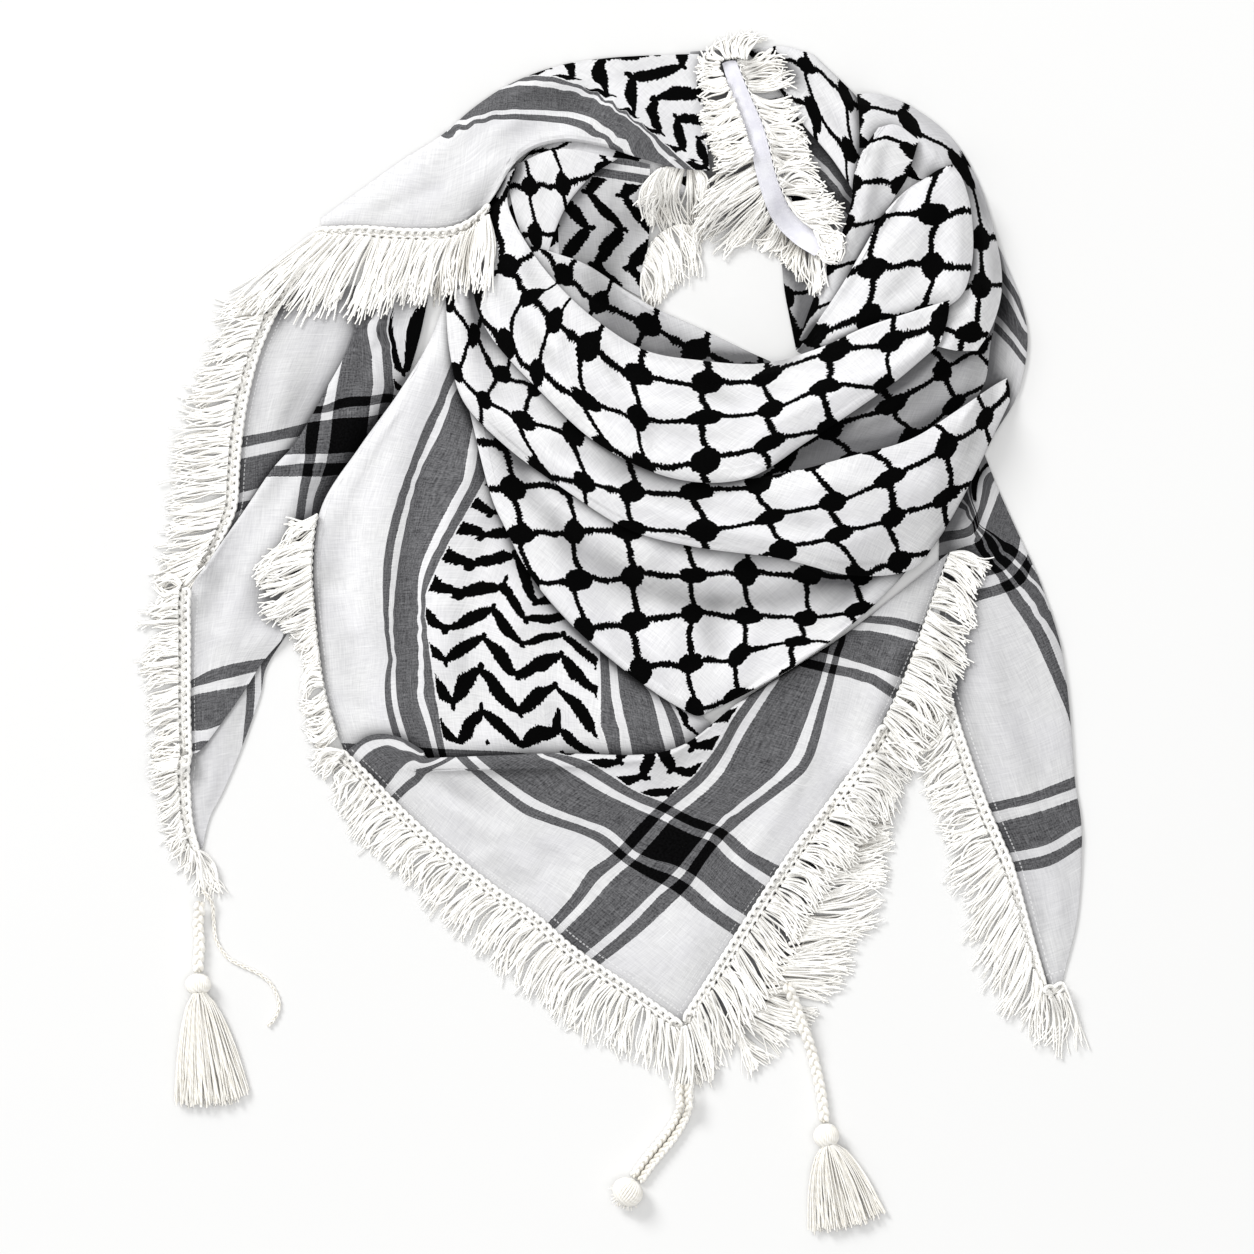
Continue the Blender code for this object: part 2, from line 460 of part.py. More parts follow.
def facet_tests(flat, facets, below, below_points):
    """Where each facet is tested: its number, the corners' shares and the height it must clear."""
    n = TESTS_PER_FACET
    shares = np.array([(i, j, n - i - j) for i in range(n + 1) for j in range(n + 1 - i)], float) / n
    places = np.einsum("tk,fkc->ftc", shares, flat[facets]).reshape(-1, 2)
    wanted = [top_of(below, x, y) for x, y in places]
    number = list(np.repeat(np.arange(len(facets)), len(shares)))
    shares = list(np.tile(shares, (len(facets), 1)))
    plan = BVHTree.FromPolygons([(x, y, 0.0) for x, y in flat], facets.tolist())
    for x, y, z in below_points:
        hit = plan.ray_cast(Vector((x, y, 1.0)), Vector((0.0, 0.0, -1.0)))
        if hit[2] is None:
            continue
        corner, second, third = flat[facets[hit[2]]]
        sides = np.stack([second - corner, third - corner], axis=1)
        if abs(np.linalg.det(sides)) < 1e-6:
            continue
        b, c = np.linalg.solve(sides, np.array((x, y)) - corner)
        number.append(hit[2])
        shares.append(np.array((1 - b - c, b, c)))
        wanted.append(z)
    return np.array(number), np.array(shares), np.array(wanted)


def rest_heights(grid, below, below_points):
    """Lowest smooth surface through the plan grid that clears everything under its facets."""
    rows, columns = grid.shape[:2]
    flat = grid.reshape(-1, 2)
    floor = np.array([top_of(below, x, y) for x, y in flat]).reshape(rows, columns)
    height = floor.copy()
    for _ in range(SMOOTH_ROUNDS):
        padded = np.pad(height, 1, mode="edge")
        around = padded[:-2, 1:-1] + padded[2:, 1:-1] + padded[1:-1, :-2] + padded[1:-1, 2:]
        height = np.maximum(floor, 0.5 * height + 0.125 * around)
    facets = facet_corners(rows, columns)
    number, shares, wanted = facet_tests(flat, facets, below, below_points)
    corners = facets[number]
    level = height.reshape(-1)
    for _ in range(SETTLE_ROUNDS):
        short = np.maximum(wanted - (shares * level[corners]).sum(axis=1), 0.0)
        push = short[:, None] * shares / (shares ** 2).sum(axis=1)[:, None]
        raised = np.zeros_like(level)
        np.maximum.at(raised, corners, push)
        level = level + raised
    return level.reshape(rows, columns)


def wall_object(name, grid, under, wall, material, collection):
    """A closed wall of cloth: its upper face, its lower face and its edges."""
    rows, columns = under.shape
    upper = np.dstack([grid, under + wall]).reshape(-1, 3) * MM
    lower = np.dstack([grid, under]).reshape(-1, 3) * MM
    count = rows * columns
    facets = facet_corners(rows, columns)
    a, b, c = (Vector(upper[k]) for k in facets[0])
    if (b - a).cross(c - a).z < 0:
        facets = facets[:, ::-1]
    top = [tuple(f) for f in facets]
    bottom = [tuple(k + count for k in f[::-1]) for f in facets]
    edges = {}
    for face in top:
        for start, end in zip(face, face[1:] + face[:1]):
            edges[(start, end)] = (end, start) not in edges and edges.get((start, end), True)
            if (end, start) in edges:
                edges[(end, start)] = False
                edges[(start, end)] = False
    sides = []
    for (start, end), rim in edges.items():
        if rim:
            sides.append((end, start, start + count))
            sides.append((end, start + count, end + count))
    mesh = bpy.data.meshes.new(name)
    mesh.from_pydata(np.concatenate([upper, lower]).tolist(), [], top + bottom + sides)
    mesh.validate()
    mesh.materials.append(material)
    piece = bpy.data.objects.new(name, mesh)
    collection.objects.link(piece)
    mesh.shade_smooth()
    mesh.set_sharp_from_angle(angle=math.radians(SHARP_EDGE))
    return piece


def neck_roll(material, collection):
    """The hidden layers: one rounded roll round the neck opening, flat underneath."""
    table = np.array(NECK_ROLL, float)
    turns = np.concatenate([table, table[:1] + (360, 0, 0, 0)])
    looped = np.concatenate([table[-1:] - (360, 0, 0, 0), turns, table[1:2] + (360, 0, 0, 0)])
    at = np.arange(1, len(turns), 0.5)
    sections = spline(looped, at)
    points = []
    for angle, inner, outer, height in sections:
        turn = math.radians(angle)
        for step in range(ROLL_SECTION_STEPS + 1):
            share = step / ROLL_SECTION_STEPS
            radius = inner + (outer - inner) * (1 - math.cos(math.pi * share)) / 2
            crown = math.sin(math.pi * share ** ROLL_LEAN) ** ROLL_FULLNESS if 0 < share < 1 else 0.0
            level = height * crown
            points.append((NECK[0] + radius * math.cos(turn), NECK[1] + radius * math.sin(turn), level))
    ring = ROLL_SECTION_STEPS + 1
    count = len(sections)
    faces = []
    for k in range(count):
        here, there = k * ring, (k + 1) % count * ring
        for step in range(ROLL_SECTION_STEPS):
            faces.append((here + step, here + step + 1, there + step + 1, there + step))
        faces.append((here + ROLL_SECTION_STEPS, here, there, there + ROLL_SECTION_STEPS))
    mesh = bpy.data.meshes.new("hidden_layers")
    mesh.from_pydata([tuple(v * MM for v in p) for p in points], [], faces)
    mesh.materials.append(material)
    piece = bpy.data.objects.new("hidden_layers", mesh)
    collection.objects.link(piece)
    mesh.shade_smooth()
    return piece


def surface_below(pieces):
    """Search tree over all the pieces laid so far, and their corners and edge middles in mm."""
    corners, faces, points = [], [], []
    for piece in pieces:
        base = len(corners)
        corners += [v.co.copy() for v in piece.data.vertices]
        faces += [tuple(base + k for k in face.vertices) for face in piece.data.polygons]
        for edge in piece.data.edges:
            start, end = (corners[base + k] for k in edge.vertices)
            points += [tuple(start.lerp(end, share) / MM) for share in EDGE_TESTS]
    return BVHTree.FromPolygons(corners, faces), points


def cord(spec, material, collection, below):
    """A round cord as a tube along its route; gives its end and the way it points there."""
    route = np.array(spec["route"], float)
    lengths = np.linalg.norm(np.diff(route, axis=0), axis=1)
    path = spline(route, positions(lengths, CORD_STEP, False, False))
    radius = spec["thick"] / 2
    curve = bpy.data.curves.new(spec["name"], "CURVE")
    curve.dimensions = "3D"
    curve.bevel_depth = radius * MM
    curve.bevel_resolution = 2
    curve.use_fill_caps = True
    run = curve.splines.new("POLY")
    run.points.add(len(path) - 1)
    turns = [k * math.pi / 4 for k in range(8)]
    around = [(0.0, 0.0)] + [(radius * math.cos(turn), radius * math.sin(turn)) for turn in turns]
    for point, (x, y) in zip(run.points, path):
        level = max(top_of(below, x + dx, y + dy) for dx, dy in around)
        height = level + radius + (LAYER_GAP if level > 0 else TABLE_GAP)
        point.co = (x * MM, y * MM, height * MM, 1.0)
    curve.materials.append(material)
    piece = bpy.data.objects.new(spec["name"], curve)
    collection.objects.link(piece)
    end = Vector(path[-1])
    return end, (end - Vector(path[-2])).normalized()


def knot(spec, material, collection, end, way):
    """A hard tied knot, rounded, end to end with its cord and resting on the table."""
    bpy.ops.mesh.primitive_uv_sphere_add(segments=14, ring_count=8, radius=0.5)
    piece = bpy.context.object
    piece.name = piece.data.name = spec["name"]
    high = min(spec["width"], spec["length"]) * KNOT_HEIGHT
    middle = end + way * (spec["length"] / 2 + END_GAP)
    for vertex in piece.data.vertices:
        x, y, z = vertex.co
        vertex.co = Vector((x * spec["width"], y * spec["length"], z * high)) * MM
    piece.rotation_euler.z = math.atan2(way.y, way.x) - math.pi / 2
    piece.location = Vector((middle.x, middle.y, high / 2 + TABLE_GAP)) * MM
    piece.data.materials.append(material)
    piece.data.shade_smooth()
    for holder in list(piece.users_collection):
        holder.objects.unlink(piece)
    collection.objects.link(piece)
    return middle


def tassel(spec, material, collection, knot_middle, knot_length):
    """A tassel's skirt: a flattened fan from its knot to its tips."""
    tips = Vector(spec["tips"])
    along = (tips - knot_middle).normalized()
    head = knot_middle + along * (knot_length / 2 + END_GAP)
    side = Vector((-along.y, along.x))
    points = []
    for k in range(TASSEL_STATIONS + 1):
        share = k / TASSEL_STATIONS
        middle = head.lerp(tips, share)
        width = spec["head_width"] + (spec["tip_width"] - spec["head_width"]) * share ** TASSEL_SPREAD
        thick = spec["thick"] * (1 - TASSEL_THINS * share)
        for j in range(TASSEL_SIDES):
            turn = 2 * math.pi * j / TASSEL_SIDES
            across = middle + side * (width / 2 * math.cos(turn))
            points.append(Vector((across.x, across.y, thick / 2 * (1 + math.sin(turn)) + TABLE_GAP)) * MM)
    faces = [tuple(range(TASSEL_SIDES)), tuple(TASSEL_STATIONS * TASSEL_SIDES + j for j in range(TASSEL_SIDES))]
    for k in range(TASSEL_STATIONS):
        for j in range(TASSEL_SIDES):
            a, b = k * TASSEL_SIDES + j, k * TASSEL_SIDES + (j + 1) % TASSEL_SIDES
            faces.append((a, b, b + TASSEL_SIDES, a + TASSEL_SIDES))
    mesh = bpy.data.meshes.new(spec["name"])
    mesh.from_pydata(points, [], faces)
    mesh.materials.append(material)
    piece = bpy.data.objects.new(spec["name"], mesh)
    collection.objects.link(piece)
    return piece


def outward(piece):
    """Turn a closed mesh's faces to point out."""
    shape = bmesh.new()
    shape.from_mesh(piece.data)
    bmesh.ops.recalc_face_normals(shape, faces=shape.faces)
    shape.to_mesh(piece.data)
    shape.free()


def build():
    clear_scene()
    collection = bpy.data.collections.new("Keffiyeh")
    bpy.context.scene.collection.children.link(collection)
    cotton = cloth_material("striped_cotton", COTTON)
    net = cloth_material("net_cotton", NET_COTTON)
    trim = cloth_material("fringe_cotton", FRINGE_COTTON)

    laid = [neck_roll(net, collection)]
    outward(laid[0])
    made = {}
    for stretch in STRETCHES:
        below, below_points = surface_below(laid)
        if "of" in stretch:
            grid, lift = fringe_grid(stretch, made)
            wall, material = FRINGE_WALL, trim
        else:
            grid, lift, rows, columns = stretch_grid(stretch)
            made[stretch["name"]] = (grid, rows, columns)
            wall = stretch.get("wall", CLOTH_WALL)
            material = cotton if wall < FRINGE_WALL else trim
        rest = rest_heights(grid, below, below_points)
        clear = np.where(rest > TOUCH, LAYER_GAP, 0.0)
        laid.append(wall_object(stretch["name"], grid, rest + clear + lift, wall, material, collection))
        outward(laid[-1])
    below, below_points = surface_below(laid)
    ends = {spec["name"]: cord(spec, trim, collection, below) for spec in CORDS}
    middles = {spec["name"]: knot(spec, trim, collection, *ends[spec["on"]]) for spec in KNOTS}
    lengths = {spec["name"]: spec["length"] for spec in KNOTS}
    for spec in TASSELS:
        outward(tassel(spec, trim, collection, middles[spec["on"]], lengths[spec["on"]]))


build()
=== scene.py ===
"""Looks of a square head cloth, folded to a triangle, wound once round an open neck and laid flat.

Lengths are millimetres until a mesh is made, measured from the middle of the laid cloth: +X to its right,
+Y to the top of the neck, +Z up from the table.  A cloth thread's place is (a, b), its distance in mm from
two hems of the square cloth; stripes, leaves and net are all woven by a and b.
"""
import math

import bpy
import numpy as np
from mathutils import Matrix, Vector


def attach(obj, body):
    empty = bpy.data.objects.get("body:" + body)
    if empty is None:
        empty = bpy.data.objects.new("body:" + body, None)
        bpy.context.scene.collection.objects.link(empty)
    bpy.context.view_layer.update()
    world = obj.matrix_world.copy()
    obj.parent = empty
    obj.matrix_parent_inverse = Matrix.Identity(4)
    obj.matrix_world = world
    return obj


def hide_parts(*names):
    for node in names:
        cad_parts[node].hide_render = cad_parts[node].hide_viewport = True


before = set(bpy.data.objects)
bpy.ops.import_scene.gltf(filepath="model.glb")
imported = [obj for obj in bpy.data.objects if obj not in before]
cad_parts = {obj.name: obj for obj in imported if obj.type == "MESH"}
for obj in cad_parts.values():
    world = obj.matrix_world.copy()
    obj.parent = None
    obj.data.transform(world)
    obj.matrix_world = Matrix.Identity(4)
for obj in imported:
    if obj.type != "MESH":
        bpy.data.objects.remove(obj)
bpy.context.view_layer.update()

MM = 0.001
BODY = "root"
SEED = 7

# ---- camera, floor and light: metres ----
PICTURE_MIDDLE = (0.0086, -0.0482)  # what the camera looks down at
PICTURE_WIDTH = 0.903  # width of table in view
CAMERA_HEIGHT = 7.0
SENSOR_MM = 36.0
FLOOR_SIZE = 12.0
FLOOR_DROP = 0.0004  # how far the floor lies under the cloth
FLOOR_COLOUR = (0.745, 0.745, 0.741, 1.0)
FLOOR_GRAIN = (0.733825, 0.733825, 0.729885, 1.0)
WORLD_LIGHT = 0.58
#         name        power  size  place               aimed at
LAMPS = (("softbox",  260.0, 7.0, (0.5, -0.6, 7.5), (0.0, -0.1, 0.0)),
         ("side",     1250.0, 4.5, (-7.2, 8.1, 7.3), (0.0, 0.0, 0.0)))

# ---- colours, as a screen shows them ----
COLOURS = dict(
    thin_white=(204, 204, 205), white=(227, 227, 227), cool_white=(213, 212, 218),
    thick_white=(240, 240, 241), deep_grey=(54, 54, 56), pale_grey=(120, 120, 122), crossing_ink=(1, 1, 1),
    worn_ink=(10, 10, 11), black=(0, 0, 0), worn_black=(5, 5, 5), shadow=(118, 118, 119),
    stitch=(231, 231, 231), yarn_in_shade=(150, 144, 132), yarn=(255, 254, 251), cream_yarn=(249, 245, 236),
    cord_groove=(208, 203, 192), cord_ply=(240, 237, 229), cord=(253, 251, 247), tape_thin=(216, 216, 222),
    tape=(229, 229, 234), tape_pressed=(203, 202, 212), tape_stitch=(226, 225, 232))

# ---- the woven pattern: places and sizes on the flat cloth, mm ----
STRIPES = ((67, 76), (83, 107), (113, 121), (262, 270), (278, 303), (311, 319))
FIGURE_BUMPS = (0.5, 3.0)  # how closely (per mm) and how far (mm) the figures' edges waver
FIGURE_DRIFT = (0.05, 9.0)  # the same for the slow wander of whole lines
STRIPE_WAVER = 1.2  # how far a stripe's edge wavers
TEETH = (2.5, 0.45)  # the small steps along a figure's edge: length and reach
STITCHES = (4.6, 5.5, 3.2)  # the hem's line of stitches: from, to, and pitch
STITCH_LENGTH = 0.3  # half a stitch, as a share of that
LEAF_FIELD = (122.5, 259.5)
LEAF_VALLEY = 136.0  # a zigzag row is lowest here, and at every full wave
LEAF_HALF_WAVE = 31.0
LEAF_RISE = 20.0
LEAF_ROWS = 25.0
LEAF_THIN = 2.8  # half thickness of a leaf at its ends
LEAF_BELLY = 3.5  # what its middle adds
LEAF_TICK = 6.5  # reach of the barb at a leaf's end
LEAF_TICK_WIDTH = 0.07  # share of the half wave that it takes
SECOND_BAND = (257.0, 323.0)  # no leaves where these stripes cross
NET_FIELD = 322.0  # the net starts past the second band
NET_PITCH = (40.0, 35.0)  # knot to knot, across and down
NET_LINE = 2.2  # half thickness of a net line
NET_SLANT = (3.4, 1.8)  # how far a line leans off its lattice by its ends
NET_KNOTS = ((10.8, 7.4), (8.6, 9.4))  # half sizes of the wide knots and the tall ones
NET_RUFFLE = 0.12  # how much the teeth ruffle a knot's edge
NET_ORIGIN = 30 * NET_PITCH[1] / math.sqrt(2)  # a = b of one knot, far inside the net

# ---- how the finishes vary ----
SLUB = (1.1, 0.07)  # bumps per mm in a thread's thickness, across and along
SLUB_APART = 31.0  # keeps the two ways of the weave from running alike
THICK_THREAD = (0.8, 0.02)  # the same for the odd thick thread
MOTTLE = 0.022  # patches per mm
SPECK = 0.75
TAPE_SLUB = (1.3, 0.1)
# patches per mm of the tape's painted fold shade, across and along
TAPE_FOLD_SHADE = (0.05, 0.09)
# Each kind of noise is read at a depth of its own, so that no two run alike.
NOISE_DEPTHS = dict(slub=0.0, thick_a=41.0, thick_b=47.0, mottle=5.0, speck=2.0, pressed=3.0,
                    bumps_a=9.0, bumps_b=17.0, drift_a=23.0, drift_b=31.0)
# The values between which a tone comes in, and how much of it there is at most.
TONES = dict(weave=(0.72, 1.28, 1.0), mottle=(0.35, 0.65, 0.3), thick=(0.60, 0.74, 0.42),
             heather=(0.55, 0.95, 1.0), ink=(0.3, 0.7, 1.0), cream=(0.3, 0.7, 0.2),
             plies=(-0.6, 1.6, 1.0), pressed=(0.4, 0.62, 0.7))
YARN_PATCHES = 60.0  # noise on yarn is per metre of the part
YARN_FUZZ = 900.0
PLY_PATCHES = 120.0
PLY_TURNS = 1400.0  # radians of ply per metre
PLY_SLANT = 0.6
CLOTH_BUMP = (0.00035, 0.55)  # relief in metres, and its strength
YARN_BUMP = (0.0004, 0.5)
TAPE_BUMP = (0.0003, 0.5)
FIGURE_RELIEF = 0.9  # how far figures and stitches stand up, in slubs
STITCH_RELIEF = 0.8
STITCH_SHOWS = 0.45  # how strongly a stitch's own colour shows
TAPE_SEAMS = ((15.6, 16.6), (31.4, 32.4))  # from and to, mm from the hem
TAPE_STITCH = (2.6, 0.32)  # pitch, and half a stitch as a share of it
TAPE_STITCH_RELIEF = 1.4

# ---- cloth sizes, mm ----
CLOTH_WALL = 0.8
TAPE_WALL = 1.2
LAYER_GAP = 0.5
CLOTH_STEP = 3.3  # one cell of a cloth's mesh
FOLD_SPREAD = 1.8  # a fold rounds over this many of its radii
FOLD_TURNS = (0.076, 0.293, 0.617)  # extra rows, as shares of a fold's rounding
FOLD_EDGE = 0.42  # share of the fold's height at its very edge
FOLD_TUCK = 0.55  # its underside is tucked in by this share of its radius
TUCK_FADE = 2.5  # and the tuck is gone this many radii in
TUCK_ROOM = 0.3  # no tuck takes more than this share of a line
FOLD_LIP = (1.4, 0.2)  # how steeply and from where the wall thickens to its fold's edge
SHARP_EDGE = 60  # degrees
KEPT = 0.4  # share of its height that a place keeps in a round of easing
EASE_ROUNDS = 34  # how softly cloth bridges what is under it
LINE_STEP = 13.0  # spacing of points on a given thread line
EDGE_CALM = (7.0, 0.25)  # creases die away this near a flat edge, to this share
CREASE_DEPTH = 1.5  # how strongly every crease is pressed
CREASE_SWELL = (0.25, 9.0)  # share by which a crease's height varies, and how often
CREASE_ENDS = (4, 0.05)  # how fast it rises at its ends, and from what share
#          height length sway  its length
WANDER = ((0.35,  13.0,  2.0,  31.0),  # the cloth's own unevenness, across and down
          (0.30,  11.0,  1.7,  23.0))
SHADE = ((3.5, 0.75), (9.0, 0.62), (18.0, 0.58))  # reach and strength of the painted shade beside taller cloth
SHADE_FROM = 0.4  # a smaller step gets no painted shade
CONTACT_BLUR = 1.6  # the painted shade is softened over this many mesh cells
BLUR_REACH = 2.5  # a blur reads this many times its reach
YARN_TONES = (0.86, 0.16, 0.4)  # fringe: darkest yarn, what the palest adds, what painted shade takes off

# ---- fringe sizes, mm ----
HEM_READS = 400  # places read along a hem
BUNDLE_PITCH = 5.2
BUNDLE_YARNS = 9
BUNDLE_WIDTH = 0.42  # half a tuft's root, as a share of the pitch
BUNDLE_FAN = 6.5  # degrees that a tuft's outer yarns lean
TUFT_LEAN = 5.0  # degrees, from tuft to tuft
YARN_LEAN = 2.0  # degrees, from yarn to yarn
TUFT_BOW = (1.6, 2.3)  # how far a tuft bows to one side: middle and spread
YARN_BOW = 0.9
YARN_CURL = (0.8, 6.5)  # how far a yarn curls (mm) and how often (radians)
TIP_CURL = 0.5  # the same along the yarn
CURL_SHAPE = 2.0  # few yarns curl much
YARN_RADIUS = 0.74
YARN_SPREAD = (0.8, 1.2)  # thinnest and thickest yarn, as shares
YARN_TAPER = 0.3  # share of its thickness that a yarn loses by its tip
YARN_STATIONS = 10
YARN_SIDES = 4
YARN_HEAP = (4.2, 1.2)  # how high yarns heap up, and how few lie on top
HEAP_SPAN = (0.16, 0.74)  # from where on a half wave, and for how much of it
YARN_CLEAR = 0.2  # air under a yarn
YARN_ROUNDS = 6  # how softly a yarn lies on what is under it
YARN_FILL = 4  # places where it raises the pile, for each station
ROOT_SCATTER = 4.0  # how unevenly wild yarns start
DROOP = 7.0  # how far down the table fringe tips were combed
DROOP_SPREAD = (0.6, 1.2)  # least and most of it, from yarn to yarn
END_TURN = 11.0  # degrees between tufts that turn round a hem's end
#               middle spread least most
TUFT_LENGTHS = (0.97,  0.06,  0.82, 1.08)  # shares of the drawn reach
YARN_LENGTHS = (0.98,  0.07,  0.72, 1.1)
YARN_PLACES =  (0.0,   0.55,  -1.1, 1.1)  # across a tuft, from side to side
SEAM_GAP = 0.8  # cloth edge to fringe edging
HEADING_DEPTH = 8.6  # crocheted edging between hem and fringe
HEADING_OVERLAP = 1.2  # the yarns start this far inside it
HEADING_STEP = 0.58
LOOP_CLEAR = 0.3  # air under a loop
LOOP_HUMP = 0.5  # how far a loop rises and dips
LOOP_ROUNDS = 2  # how softly the edging lies
#                 offset swing along wave start radius rise
HEADING_LOOPS = ((1.5,   1.9,  2.3,  6.0, 0.0,  1.5,   0.9),
                 (6.6,   1.9,  2.3,  6.0, 2.6,  1.45,  0.8),
                 (4.0,   0.9,  0.0,  6.0, 1.3,  1.5,  -0.1))
SEAM_LOOPS = ((0.2,      0.5,  0.0,  5.2, 0.0,  0.6,   0.3),)

# ---- the wound layers inside the neck roll, mm ----
NECK = (81, 187)  # middle of the neck opening
# Angle, inner radius, outer radius and height.
NECK_ROLL = ((0, 64, 182, 33), (30, 72, 184, 30), (60, 76, 168, 24), (90, 66, 160, 17),
             (120, 86, 168, 18), (150, 98, 180, 24), (180, 96, 176, 30), (210, 70, 180, 36),
             (240, 52, 204, 40), (270, 50, 212, 40), (300, 62, 206, 39), (330, 72, 196, 36))
ROLL_STEPS = (144, 25)  # mesh places round it and across it
ROLL_LEAN = 0.85  # below 1 its crown leans inwards
ROLL_FULLNESS = 0.75  # below 1 its section is fuller than a sine
ROLL_TURNS = 5  # turns of cloth that its grooves show
ROLL_SPIRAL = 2  # turns that a groove crosses on its way round
ROLL_SUNK = 1.0  # its crown lies this far inside its solid
ROLL_GROOVE = 1.4  # how deep the grooves are
ROLL_GROOVE_FROM = 0.15  # none below this share of the crown
ROLL_BASE = 0.02  # its underside over the table
ROLL_RADIUS = 130  # where its net is woven at full size
ROLL_ROWS = 4  # rows of net across it
ROLL_SHIFT = 400  # keeps the net clear of the hems
